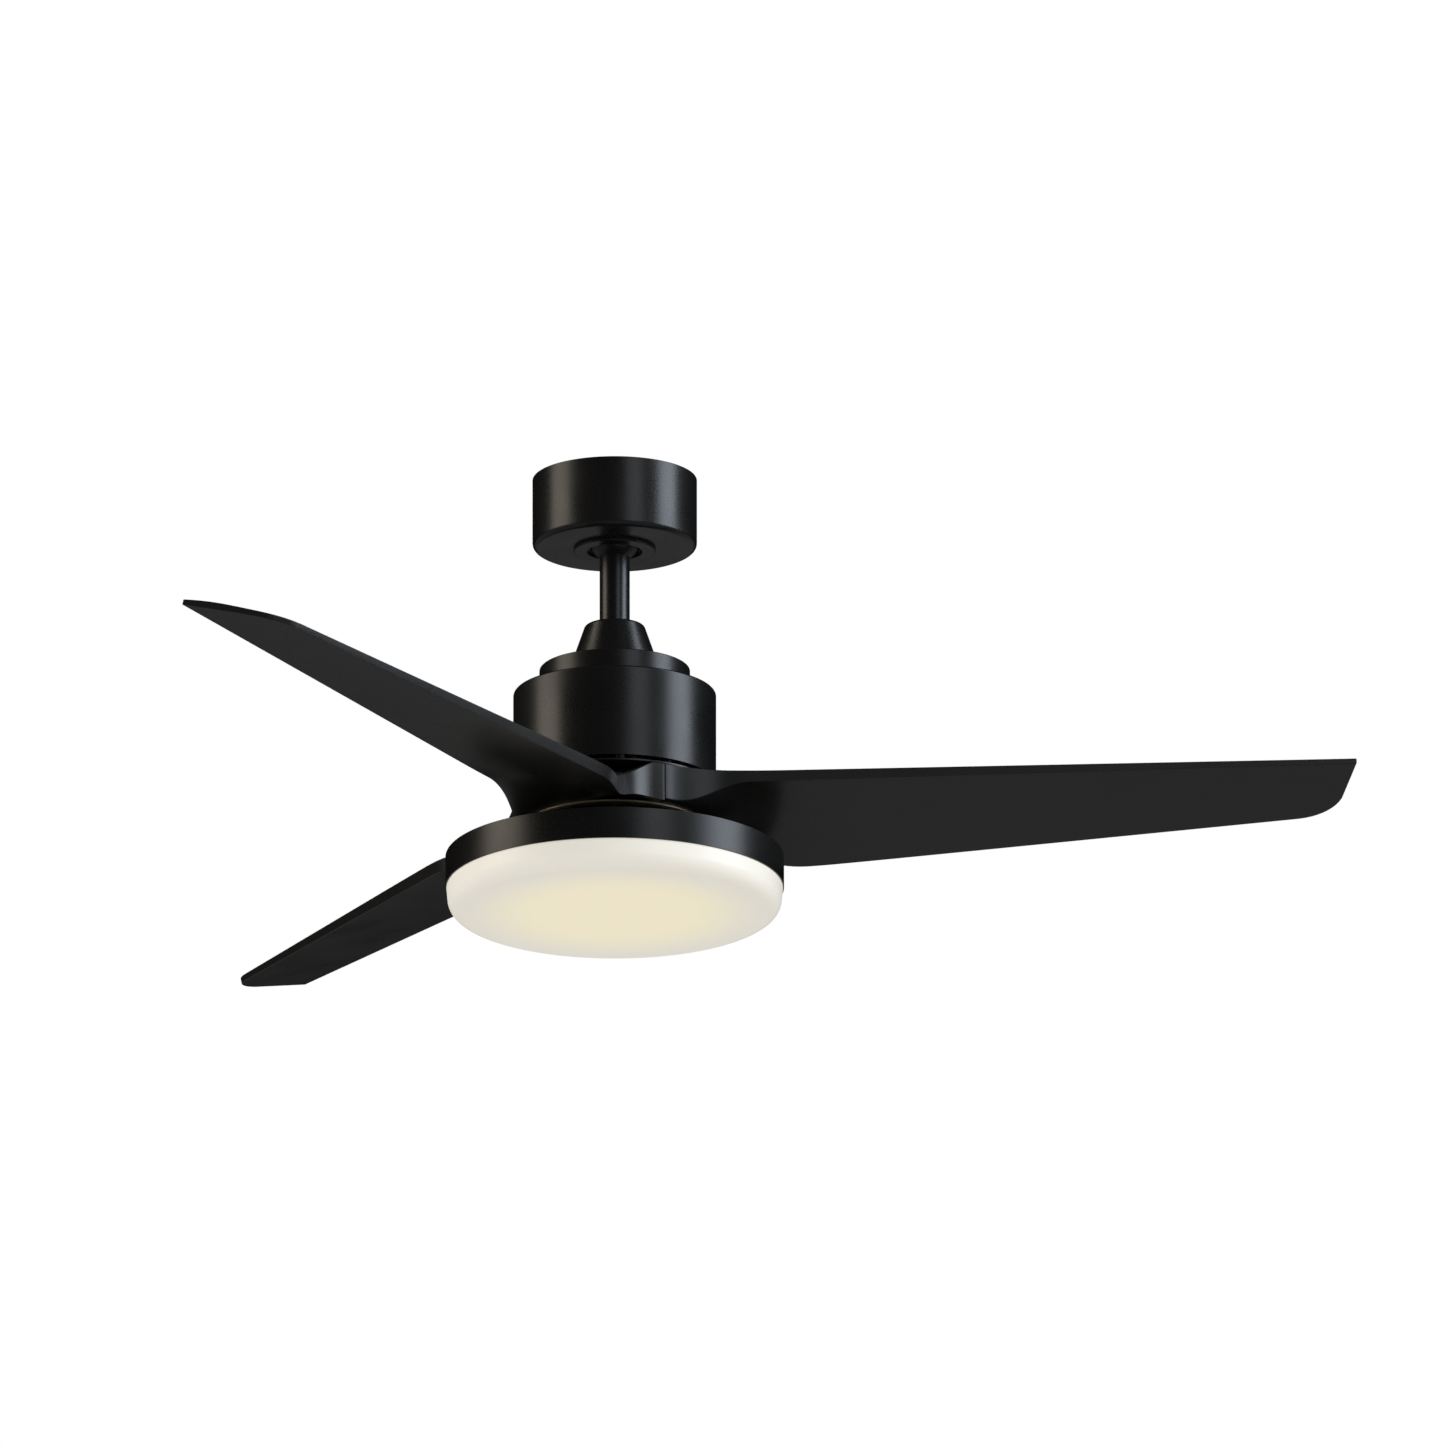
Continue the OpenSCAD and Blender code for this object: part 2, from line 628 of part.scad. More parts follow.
module hub_flange() color(BLACK) difference() {
    ring(housing_r, race_r + 5, hub_z, flange_z);
    for (b = [0:2]) for (a = blade_screw_angles) rotate([0, 0, b * blade_pitch + a])
        translate([blade_screw_r, 0, 0]) disc(bolt_r + slip, hub_z - eps, flange_z + eps);
}

module clamp_plate() color(ZINC) difference() {
    ring(clamp_r, hub_bore_r, clamp_foot_z, hub_foot_z);
    for (b = [0:2]) for (a = blade_screw_angles) rotate([0, 0, b * blade_pitch + a])
        translate([blade_screw_r, 0, 0]) disc(bolt_r + slip, clamp_foot_z - eps, hub_foot_z + eps);
}

module blade_screws() color(STEEL) for (b = [0:2]) for (a = blade_screw_angles)
    rotate([0, 0, b * blade_pitch + a]) translate([blade_screw_r, 0, clamp_foot_z])
        mirror([0, 0, 1]) screw(3.6, 1.5, bolt_r, hub_h + clamp_h + 8);

// Room over the trailing root, where the hub's upper face falls to the blade's upper side
module scoop() intersection() {
    rotate([0, 0, scoop_from]) rotate_extrude(angle = scoop_span)
        translate([scoop_inner_r, recess_z]) square([housing_r, hub_z - recess_z + eps]);
    rotate([0, 0, scoop_mid]) translate([housing_r, 0, (recess_z + hub_z) / 2])
        rotate([scoop_rise, 0, 0]) translate([-housing_r, -housing_r, 0])
            cube([2 * housing_r, 2 * housing_r, housing_r]);
}

// A blade is one moulding: a third of the hub ring, and the pitched panel that grows out of it
module blade() color(BLACK) union() {
    difference() {
        rotate([0, 0, -blade_pitch / 2]) rotate_extrude(angle = blade_pitch)
            translate([hub_bore_r, hub_foot_z]) square([housing_r - hub_bore_r, hub_h]);
        for (side = [-1, 1]) rotate([0, 0, side * blade_pitch / 2])
            translate([0, -seam, hub_foot_z - eps]) cube([housing_r + eps, 2 * seam, hub_h + 2 * eps]);
        for (a = blade_screw_angles) rotate([0, 0, a])
            translate([blade_screw_r, 0, 0]) disc(bolt_r + slip, hub_foot_z - eps, hub_z + eps);
        scoop();
    }
    skin([for (u = blade_stations) section(u)]);
}

module blade_1() blade();
module blade_2() rotate([0, 0, blade_pitch]) blade();
module blade_3() rotate([0, 0, 2 * blade_pitch]) blade();

// ---------- light kit ----------

module fitter_plate() color(STEEL) difference() {
    union() {
        ring(fitter_r, shaft_r + slip, fitter_z - fitter_h, fitter_z);
        around(3, pan_screw_r) disc(5, pan_z + sheet, fitter_z - fitter_h);
    }
    around(3, pan_screw_r) disc(screw_r + slip, pan_z - eps, fitter_z + eps);
}

module shaft_nut() color(STEEL) difference() {
    translate([0, 0, fitter_z - fitter_h - nut_h]) cylinder(r = nut_r, h = nut_h, $fn = 6);
    disc(shaft_r + slip, fitter_z - 2 * nut_h, fitter_z);
}

module light_neck() color(BLACK) difference() {
    disc(neck_r, pan_z, neck_z);
    disc(neck_r - sheet, pan_z + sheet, neck_z + eps);
    disc(neck_hole_r, pan_z - eps, neck_z);
    around(3, pan_screw_r) disc(screw_r + slip, pan_z - eps, neck_z);
}

module pan_screws() color(STEEL) around(3, pan_screw_r)
    translate([0, 0, pan_z - pan_sheet]) mirror([0, 0, 1]) screw(3.6, 2.2, screw_r, 12);

module light_pan() color(BLACK) difference() {
    disc(pan_r, pan_foot_z, pan_z);
    disc(pan_r - pan_sheet, pan_foot_z - eps, pan_z - pan_sheet);
    disc(pan_hole_r, pan_foot_z, pan_z + eps);
    around(3, pan_screw_r) disc(screw_r + slip, pan_foot_z, pan_z + eps);
}

// Three ledges inside the pan that the lens's lugs turn onto, each with a stop at one end
module lens_catches() color(STEEL) for (i = [0:2]) rotate([0, 0, i * 120]) {
    catch_r = collar_lens_r + 0.8;
    span = pan_r - pan_sheet - catch_r;
    rotate([0, 0, -8]) rotate_extrude(angle = 16)
        translate([catch_r, lens_z + catch_lift]) square([span, 2]);
    rotate([0, 0, 8]) rotate_extrude(angle = 2)
        translate([catch_r, lens_z + catch_lift]) square([span, 6]);
}

module tray_standoffs() color(STEEL) difference() {
    around(3, standoff_r, 60) disc(4, tray_z, pan_z - pan_sheet);
    around(3, standoff_r, 60) disc(small_screw_r + slip, tray_z - eps, tray_z + 9);
}

module led_tray() color("#c8cacc") difference() {
    ring(tray_r, wire_r, tray_z - tray_t, tray_z);
    around(3, standoff_r, 60) disc(small_screw_r + slip, tray_z - 3, tray_z + eps);
}

module tray_screws() color(STEEL) around(3, standoff_r, 60)
    translate([0, 0, tray_z - tray_t]) mirror([0, 0, 1]) screw(2.8, 1.6, small_screw_r, 9);

module led_board() color(WHITE) ring(led_board_r, wire_r, led_board_z, led_board_z + led_board_t);

module led_chips() color("#f6e27a") for (row = [1:4]) around(led_step * row, led_ring_pitch * row)
    translate([-led.x / 2, -led.y / 2, led_board_z - led.z]) cube(led);

module led_driver() color(WHITE) difference() {
    translate([-driver.x / 2, driver_y, tray_z]) cube(driver);
    for (side = [-1, 1]) translate([side * driver_foot_x, driver_y + driver.y / 2, 0])
        disc(2, tray_z - eps, tray_z + driver.z + eps);
}

module light_connector() color(WHITE) translate([-7, lead_y - 4, pan_z - 12]) cube([14, 8, 10]);

// ---------- lens ----------

// Opal bowl with a collar that stands up inside the pan and carries three lugs
module lens() color(WHITE) {
    foot = lens_foot_z;
    round_z = foot + lens_corner_r;
    collar_top = lens_z + lens_collar_h;
    lug_z = lens_z + catch_lift + 2.3;
    rotate_extrude() polygon(concat(
        [[0, foot]],
        arc(lens_foot_r - lens_corner_r, round_z, lens_corner_r, -90, 0, 10),
        [[lens_r, lens_z], [collar_lens_r, lens_z], [collar_lens_r, collar_top],
         [collar_lens_r - 2, collar_top], [collar_lens_r - 2, lens_z - 1]],
        [[lens_foot_r - lens_wall, round_z]],
        arc(lens_foot_r - lens_corner_r, round_z, lens_corner_r - lens_wall, 0, -90, 10),
        [[0, foot + lens_wall]]
    ));
    for (i = [0:2]) rotate([0, 0, i * 120 - 5]) rotate_extrude(angle = 12)
        translate([collar_lens_r - 0.5, lug_z]) square([lug_w, 2.5]);
}

hanger_bracket();
canopy();
canopy_trim_ring();
canopy_screws();
receiver_case();
terminal_block();
ground_screw();
hanger_ball();
ball_cross_pin();
ball_set_screw();
downrod();
lead_bundle();
lead_connector();
coupling_cover();
rod_coupler();
coupler_pin();
pin_clip();
coupler_set_screws();
coupler_screws();
motor_top_cover();
top_cover_screws();
cover_standoffs();
control_board();
board_spacers();
board_components();
motor_plate();
motor_housing();
housing_screws();
motor_shaft();
bearing_inner_races();
stator_core();
stator_windings();
fitter_plate();
shaft_nut();
light_neck();
pan_screws();
light_pan();
lens_catches();
tray_standoffs();
led_tray();
tray_screws();
led_board();
led_chips();
led_driver();
light_connector();
rotor_bell();
rotor_magnets();
rotor_base();
bell_screws();
bearing_outer_races();
hub_flange();
clamp_plate();
blade_1();
blade_2();
blade_3();
blade_screws();
bearing_balls();
bearing_cages();
lens();
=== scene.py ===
"""Looks of a black ceiling fan with a round opal light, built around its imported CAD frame.

Every sub-assembly is a class that holds its sizes and makes and dresses its own pieces, and every
finish is a frozen dataclass that makes one material. Sizes are in millimetres in the fields and
turn to metres where a mesh is made. The fan's axis is Z and the ceiling plane is z = 0.
"""

import json
import logging
import math
from dataclasses import dataclass, field
from enum import Enum
from typing import Any, Mapping, Sequence

import bpy
from bpy.types import Material, Node, NodeSocket, NodeTree, Object
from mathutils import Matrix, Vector


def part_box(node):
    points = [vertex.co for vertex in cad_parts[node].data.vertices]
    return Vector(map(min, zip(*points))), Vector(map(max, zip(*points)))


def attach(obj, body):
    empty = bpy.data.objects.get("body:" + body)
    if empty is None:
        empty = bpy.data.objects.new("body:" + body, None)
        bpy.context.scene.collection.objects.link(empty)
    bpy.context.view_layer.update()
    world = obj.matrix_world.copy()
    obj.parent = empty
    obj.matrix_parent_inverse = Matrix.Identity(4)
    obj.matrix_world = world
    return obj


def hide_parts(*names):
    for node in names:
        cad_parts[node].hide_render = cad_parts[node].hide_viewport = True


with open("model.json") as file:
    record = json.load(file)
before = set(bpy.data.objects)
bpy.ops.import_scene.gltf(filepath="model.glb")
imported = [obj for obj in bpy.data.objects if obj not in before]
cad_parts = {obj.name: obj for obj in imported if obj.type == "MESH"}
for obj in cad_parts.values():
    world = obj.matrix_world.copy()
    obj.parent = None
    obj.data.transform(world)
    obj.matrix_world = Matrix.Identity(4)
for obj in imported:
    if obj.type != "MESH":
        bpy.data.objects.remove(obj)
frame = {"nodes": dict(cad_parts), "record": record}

LOG = logging.getLogger("fan")
MM = 0.001
TURN_STEPS = 192
SMOOTH_ANGLE = math.radians(32)
# A wave texture has one band every 2 pi / 20 units at scale 1
WAVE_PITCH = math.tau / 20
Point = tuple[float, float]
Corner = tuple[float, float, float]
Colour = tuple[float, float, float, float]
Rounds = tuple[float, float, float, float, float, float]
WHITE: Colour = (1.0, 1.0, 1.0, 1.0)


class Body(Enum):
    """The CAD bodies that pieces ride on."""

    CEILING = "ceiling_mount"
    HANGING = "hanging_motor"
    ROTOR = "rotor"
    LENS = "lens"


# ---------- small helpers ----------


def linear(colour: str) -> Colour:
    """Turn an sRGB hex colour to linear light.

    Args:
        colour: six hex digits after a hash, such as "#1b1b1a".

    Returns:
        Red, green, blue and an alpha of 1, as Blender's sockets want them.
    """
    parts = [int(colour[i:i + 2], 16) / 255 for i in (1, 3, 5)]
    red, green, blue = (
        c / 12.92 if c <= 0.04045 else ((c + 0.055) / 1.055) ** 2.4 for c in parts
    )
    return red, green, blue, 1.0


def shaded(colour: Colour, share: float) -> Colour:
    """Return a linear colour with its light multiplied by a share."""
    return colour[0] * share, colour[1] * share, colour[2] * share, 1.0


def feed(tree: NodeTree, node: Node, inputs: Mapping[Any, Any]) -> None:
    """Set or link a node's inputs.

    Args:
        tree: the node's tree.
        node: the node.
        inputs: socket name or number to a value, or to another node's output socket.
    """
    for name, value in inputs.items():
        if isinstance(value, NodeSocket):
            tree.links.new(value, node.inputs[name])
        else:
            node.inputs[name].default_value = value


def add_node(
    tree: NodeTree,
    kind: str,
    settings: Mapping[str, Any] | None = None,
    inputs: Mapping[Any, Any] | None = None,
) -> Node:
    """Add a shader node with its settings, values and links.

    Args:
        tree: the node tree that takes the node.
        kind: the node's Blender type name.
        settings: properties of the node itself.
        inputs: its values and links, as feed takes them.

    Returns:
        The new node.
    """
    node = tree.nodes.new(kind)
    for name, value in (settings or {}).items():
        setattr(node, name, value)
    feed(tree, node, inputs or {})
    return node


def ease(t: float) -> float:
    """Return a smooth step from 0 to 1 as t goes from 0 to 1."""
    c = min(1.0, max(0.0, t))
    return c * c * (3 - 2 * c)


def mix(a: float, b: float, t: float) -> float:
    """Return the value a share t of the way from a to b."""
    return a + (b - a) * t


def rounded(corners: Sequence[Corner], closed: bool = True, steps: int = 5) -> list[Point]:
    """Round the corners of an outline.

    Args:
        corners: (x, y, radius) of each corner in order, in mm; radius 0 leaves it sharp.
        closed: whether the last corner joins the first.
        steps: straight pieces in each rounded corner.

    Returns:
        The outline's points, with an arc in place of each corner that has a radius.
    """
    points: list[Point] = []
    count = len(corners)
    for i, (x, y, radius) in enumerate(corners):
        if radius <= 0 or (not closed and i in (0, count - 1)):
            points.append((x, y))
            continue
        here = Vector((x, y))
        before = (Vector(corners[i - 1][:2]) - here).normalized()
        after = (Vector(corners[(i + 1) % count][:2]) - here).normalized()
        half = before.angle(after) / 2
        centre = here + (before + after).normalized() * (radius / math.sin(half))
        start = here + before * (radius / math.tan(half)) - centre
        sweep = math.pi - 2 * half
        turn = 1 if before.cross(after) < 0 else -1
        for step in range(steps + 1):
            angle = turn * sweep * step / steps
            cos_a, sin_a = math.cos(angle), math.sin(angle)
            points.append((
                centre.x + start.x * cos_a - start.y * sin_a,
                centre.y + start.x * sin_a + start.y * cos_a,
            ))
    return points


def box_mm(node: str) -> list[Vector]:
    """Return the low and the high corner of a CAD node's box in mm."""
    return [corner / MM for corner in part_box(node)]


def deselect() -> None:
    """Leave nothing selected, in object mode."""
    if bpy.context.object and bpy.context.object.mode != "OBJECT":
        bpy.ops.object.mode_set(mode="OBJECT")
    bpy.ops.object.select_all(action="DESELECT")


def edit_all() -> None:
    """Go to edit mode with the whole mesh selected."""
    bpy.ops.object.mode_set(mode="EDIT")
    bpy.ops.mesh.select_all(action="SELECT")


def finish_mesh(piece: Object, name: str) -> Object:
    """Name a piece, merge its doubles, turn its faces outwards and smooth its shading.

    Args:
        piece: the active object, in any mode.
        name: the piece's name.

    Returns:
        The same piece, in object mode.
    """
    edit_all()
    bpy.ops.mesh.remove_doubles(threshold=1e-6)
    bpy.ops.mesh.normals_make_consistent(inside=False)
    bpy.ops.object.mode_set(mode="OBJECT")
    bpy.ops.object.shade_smooth_by_angle(angle=SMOOTH_ANGLE)
    piece.name = name
    piece.data.name = name
    return piece


def weight_normals(piece: Object) -> None:
    """Keep a piece's flat faces flat beside its rounded edges."""
    deselect()
    bpy.context.view_layer.objects.active = piece
    piece.select_set(True)
    bpy.ops.object.modifier_add(type="WEIGHTED_NORMAL")
    piece.modifiers[-1].keep_sharp = True
    bpy.ops.object.modifier_apply(modifier=piece.modifiers[-1].name)


def turned(name: str, outline: Sequence[Point], closed: bool = True) -> Object:
    """Turn a half outline about the fan's axis, as on a lathe.

    Args:
        name: the piece's name.
        outline: (radius, height) points in mm.
        closed: whether the last point joins the first; if not, both lie on the axis.

    Returns:
        The finished piece.
    """
    deselect()
    bpy.ops.mesh.primitive_plane_add(size=MM)
    piece = bpy.context.object
    edit_all()
    bpy.ops.mesh.merge(type="CENTER")
    path = list(outline) + ([outline[0]] if closed else [])
    first_r, first_z = path[0]
    bpy.ops.transform.translate(value=(first_r * MM, 0, first_z * MM))
    for (r0, z0), (r1, z1) in zip(path, path[1:]):
        bpy.ops.mesh.extrude_region_move(
            TRANSFORM_OT_translate={"value": ((r1 - r0) * MM, 0, (z1 - z0) * MM)})
    bpy.ops.mesh.select_all(action="SELECT")
    bpy.ops.mesh.spin(steps=TURN_STEPS, angle=math.tau, center=(0, 0, 0), axis=(0, 0, 1))
    finish_mesh(piece, name)
    weight_normals(piece)
    return piece


def cup(hole: float, radius: float, face: float, rim: float, wall: float,
        rounds: Sequence[float]) -> list[Corner]:
    """Draw half the section of a pressed cup with a hole in its flat face; sizes in mm.

    Args:
        hole: radius of the hole.
        radius: radius of the outside.
        face: height of the flat face.
        rim: height of the open rim.
        wall: thickness of the sheet.
        rounds: the radii of its corners: hole, corner and rim outside, then back inside.

    Returns:
        The section's corners, as rounded takes them.
    """
    inner, inside = radius - wall, face + math.copysign(wall, rim - face)
    places = ((hole, face), (radius, face), (radius, rim),
              (inner, rim), (inner, inside), (hole, inside))
    return [(x, z, corner_r) for (x, z), corner_r in zip(places, rounds)]


# ---------- finishes ----------


@dataclass(frozen=True)
class Finish:
    """A named finish. A subclass adds its surface to the shader."""

    name: str
    colour: str
    roughness: float

    def material(self) -> Material:
        """Return the finish's material, made the first time it is asked for."""
        full_name = f"{self.name}_finish"
        found = bpy.data.materials.get(full_name)
        if found:
            return found
        made = bpy.data.materials.new(full_name)
        made.use_nodes = True
        tree = made.node_tree
        shader = tree.nodes["Principled BSDF"]
        feed(tree, shader, {"Base Color": linear(self.colour), "Roughness": self.roughness})
        self.surface(tree, shader)
        made.diffuse_color = linear(self.colour)
        return made

    def surface(self, tree: NodeTree, shader: Node) -> None:
        """Add the finish's own pattern; a plain finish has none.

        Args:
            tree: the material's node tree.
            shader: its surface shader, which the pattern is linked to.
        """

    def dress(self, piece: Object) -> None:
        """Give a piece this finish all over, in place of any other."""
        piece.data.materials.clear()
        piece.data.materials.append(self.material())


@dataclass(frozen=True)
class GrainedBlack(Finish):
    """Powder coat or moulded plastic: a fine grain that breaks up the gloss.

    The grain is a shallow bump, and the same noise moves the roughness and the colour a little, so
    that a highlight has a speckled edge, as on a coat of fused powder or a spark-eroded mould. A
    slow cloud keeps large faces from looking flat.
    """

    grain_mm: float
    grain_height_mm: float
    colour_swing: float
    gloss_swing: float = 0.06
    ior: float = 1.5
    cloud_mm: float = 60.0

    def surface(self, tree: NodeTree, shader: Node) -> None:
        """Add the grain and the cloud."""
        place = add_node(tree, "ShaderNodeTexCoord").outputs["Object"]
        grain = add_node(
            tree, "ShaderNodeTexNoise", None,
            {"Vector": place, "Scale": 1 / (self.grain_mm * MM), "Detail": 2.0, "Roughness": 0.6})
        cloud = add_node(
            tree, "ShaderNodeTexNoise", None,
            {"Vector": place, "Scale": 1 / (self.cloud_mm * MM), "Detail": 1.0})
        tone = linear(self.colour)
        low, high = shaded(tone, 1 - self.colour_swing), shaded(tone, 1 + self.colour_swing)
        blend = add_node(
            tree, "ShaderNodeMath", {"operation": "MULTIPLY_ADD"},
            {0: grain.outputs["Fac"], 1: 0.6, 2: 0.2})
        colour = add_node(
            tree, "ShaderNodeMix", {"data_type": "RGBA"},
            {"Factor": blend.outputs[0], "A": low, "B": high})
        both = add_node(
            tree, "ShaderNodeMath", {"operation": "ADD"},
            {0: grain.outputs["Fac"], 1: cloud.outputs["Fac"]})
        gloss = add_node(
            tree, "ShaderNodeMapRange", None,
            {"Value": both.outputs[0], "From Min": 0.6, "From Max": 1.4,
             "To Min": self.roughness - self.gloss_swing,
             "To Max": self.roughness + self.gloss_swing})
        bump = add_node(
            tree, "ShaderNodeBump", None,
            {"Height": grain.outputs["Fac"], "Distance": self.grain_height_mm * MM,
             "Strength": 1.0})
        feed(tree, shader, {
            "IOR": self.ior, "Base Color": colour.outputs["Result"],
            "Roughness": gloss.outputs["Result"], "Normal": bump.outputs["Normal"]})


@dataclass(frozen=True)
class OpalAcrylic(Finish):
    """Opal cast acrylic over a round LED board.

    The light comes through warm and even in the middle and falls off towards the rim, where the
    surface reads as plain white acrylic.
    """

    glow_colour: str = "#fff1c4"
    rim_colour: str = "#e3ddcf"
    glow: float = 0.53
    bright_mm: float = 66.0
    dim_mm: float = 140.0
    ior: float = 1.49

    def surface(self, tree: NodeTree, shader: Node) -> None:
        """Add the glow, which follows the distance from the fan's axis."""
        place = add_node(tree, "ShaderNodeTexCoord").outputs["Object"]
        split = add_node(tree, "ShaderNodeSeparateXYZ", None, {0: place})
        flat = add_node(
            tree, "ShaderNodeCombineXYZ", None,
            {"X": split.outputs["X"], "Y": split.outputs["Y"]})
        radius = add_node(
            tree, "ShaderNodeVectorMath", {"operation": "LENGTH"}, {0: flat.outputs[0]})
        fall = add_node(
            tree, "ShaderNodeMapRange", {"interpolation_type": "SMOOTHSTEP"},
            {"Value": radius.outputs["Value"], "From Min": self.bright_mm * MM,
             "From Max": self.dim_mm * MM, "To Min": 0.0, "To Max": 1.0})
        light = add_node(
            tree, "ShaderNodeMix", {"data_type": "RGBA"},
            {"Factor": fall.outputs["Result"], "A": linear(self.glow_colour),
             "B": linear(self.rim_colour)})
        feed(tree, shader, {
            "IOR": self.ior, "Emission Color": light.outputs["Result"],
            "Emission Strength": self.glow})


@dataclass(frozen=True)
class PlatedMetal(Finish):
    """Plated or ground metal: full metal with soft clouds in its gloss."""

    cloud_mm: float = 9.0
    gloss_swing: float = 0.1
    scratch_mm: float = 0.0
    scratch_depth_mm: float = 0.01

    def surface(self, tree: NodeTree, shader: Node) -> None:
        """Add the clouds, and fine drawn lines where scratch_mm is set."""
        place = add_node(tree, "ShaderNodeTexCoord").outputs["Object"]
        cloud = add_node(
            tree, "ShaderNodeTexNoise", None,
            {"Vector": place, "Scale": 1 / (self.cloud_mm * MM), "Detail": 3.0})
        gloss = add_node(
            tree, "ShaderNodeMapRange", None,
            {"Value": cloud.outputs["Fac"], "From Min": 0.3, "From Max": 0.7,
             "To Min": self.roughness - self.gloss_swing,
             "To Max": self.roughness + self.gloss_swing})
        feed(tree, shader, {"Metallic": 1.0, "Roughness": gloss.outputs["Result"]})
        if self.scratch_mm:
            lines = add_node(
                tree, "ShaderNodeTexWave",
                {"wave_type": "RINGS", "rings_direction": "Z"},
                {"Vector": place, "Scale": WAVE_PITCH / (self.scratch_mm * MM), "Distortion": 1.0})
            bump = add_node(
                tree, "ShaderNodeBump", None,
                {"Height": lines.outputs["Fac"], "Distance": self.scratch_depth_mm * MM,
                 "Strength": 0.6})
            feed(tree, shader, {"Normal": bump.outputs["Normal"]})


@dataclass(frozen=True)
class LayeredMetal(Finish):
    """Metal in fine layers: stacked laminations, or turns of wire, one above the next."""

    layer_mm: float = 0.5
    direction: str = "Z"
    depth_mm: float = 0.1
    groove_tone: float = 0.55

    def surface(self, tree: NodeTree, shader: Node) -> None:
        """Add a groove between each two layers, as a bump and as a darker line."""
        place = add_node(tree, "ShaderNodeTexCoord").outputs["Object"]
        wave = add_node(
            tree, "ShaderNodeTexWave", {"wave_type": "BANDS", "bands_direction": self.direction},
            {"Vector": place, "Scale": WAVE_PITCH / (self.layer_mm * MM)})
        tone = linear(self.colour)
        groove = shaded(tone, self.groove_tone)
        colour = add_node(
            tree, "ShaderNodeMix", {"data_type": "RGBA"},
            {"Factor": wave.outputs["Fac"], "A": groove, "B": tone})
        bump = add_node(
            tree, "ShaderNodeBump", None,
            {"Height": wave.outputs["Fac"], "Distance": self.depth_mm * MM, "Strength": 1.0})
        feed(tree, shader, {
            "Metallic": 1.0, "Base Color": colour.outputs["Result"],
            "Normal": bump.outputs["Normal"]})


@dataclass(frozen=True)
class MouldedPlastic(Finish):
    """Moulded or coated plastic with a faint texture and a slow change of tone."""

    texture_mm: float = 0.8
    texture_height_mm: float = 0.01
    tone_swing: float = 0.06

    def surface(self, tree: NodeTree, shader: Node) -> None:
        """Add the texture and the tone."""
        place = add_node(tree, "ShaderNodeTexCoord").outputs["Object"]
        fine = add_node(
            tree, "ShaderNodeTexNoise", None,
            {"Vector": place, "Scale": 1 / (self.texture_mm * MM), "Detail": 2.0})
        tone = linear(self.colour)
        low = shaded(tone, 1 - self.tone_swing)
        colour = add_node(
            tree, "ShaderNodeMix", {"data_type": "RGBA"},
            {"Factor": fine.outputs["Fac"], "A": low, "B": tone})
        bump = add_node(
            tree, "ShaderNodeBump", None,
            {"Height": fine.outputs["Fac"], "Distance": self.texture_height_mm * MM,
             "Strength": 1.0})
        feed(tree, shader, {
            "Base Color": colour.outputs["Result"], "Normal": bump.outputs["Normal"]})


# Satin black polyester powder coat on pressed steel: a tight highlight with a grained edge. A real
# grain is 0.3 mm or less; it is drawn 1.5 mm so that it shows
POWDER_COAT = GrainedBlack(
    "black_powder_coat", "#151515", 0.30, grain_mm=1.5, grain_height_mm=0.04, colour_swing=0.3)
# Black ABS from a spark-eroded mould: duller than the coat, and it darkens evenly
BLADE_ABS = GrainedBlack(
    "black_blade_abs", "#1f1f1e", 0.32, grain_mm=1.2, grain_height_mm=0.015, colour_swing=0.1)
# Opal cast acrylic, lit from behind by a warm LED board: milky, with a soft glow in its middle
OPAL = OpalAcrylic("opal_acrylic", "#dad8d2", 0.35)
# Bright zinc plate on pressed steel: cool grey with soft patches in its gloss
ZINC = PlatedMetal("zinc_plated_steel", "#b4b6b8", 0.38)
# Yellow-passivated zinc plate: a pale, warm line of light along an edge
YELLOW_ZINC = PlatedMetal("yellow_zinc", "#e6dabc", 0.46)
# Zinc-plated screws and pins: the same grey in smaller patches
FASTENER = PlatedMetal("steel_fasteners", "#a9abad", 0.32, cloud_mm=3.0)
# Ground bearing steel: sharp reflections over fine rings left by the wheel
BEARING_STEEL = PlatedMetal(
    "bearing_steel", "#c6c8ca", 0.16, cloud_mm=5.0, gloss_swing=0.05, scratch_mm=0.63)
# Pressed brass strip: warm and satin
CAGE_BRASS = PlatedMetal("cage_brass", "#c39c52", 0.30)
# Rolled aluminium sheet: bright, with long soft changes of gloss
TRAY_ALUMINIUM = PlatedMetal("led_aluminium", "#d0d2d4", 0.34, cloud_mm=20.0)
# Stacked electrical steel: mid grey with a fine dark line between each two sheets
LAMINATIONS = LayeredMetal("lamination_steel", "#5c5e62", 0.45)
# 0.5 mm enamelled wire, drawn 0.9 mm so that each turn still shows: red-brown and glossy
COPPER_WIRE = LayeredMetal("enamelled_copper", "#b4602c", 0.28, layer_mm=0.9)
# Sintered ferrite: dark, flat and slightly gritty
FERRITE = MouldedPlastic("ferrite", "#2b2b2e", 0.55, texture_mm=0.5)
# Green lacquer on the earth screw's head: one plain, glossy colour
EARTH_GREEN = MouldedPlastic("green_screw", "#1d7a35", 0.35)
# White solder mask on the LED board: glossy, with a gentle ripple
SOLDER_MASK = MouldedPlastic("white_solder_mask", "#f1f0ea", 0.30, texture_mm=3.0)
# Phosphor in silicone over each LED: yellow, soft and grainy
PHOSPHOR = MouldedPlastic("led_phosphor", "#f2c84a", 0.40, texture_mm=0.4)
# Green solder mask over copper tracks: glossy, with patches of lighter and darker green
GREEN_BOARD = MouldedPlastic(
    "green_circuit_board", "#1d5a32", 0.30, texture_mm=2.0, tone_swing=0.25)
# Epoxy-moulded component bodies: dull dark grey
COMPONENTS = MouldedPlastic("black_components", "#26262a", 0.45)
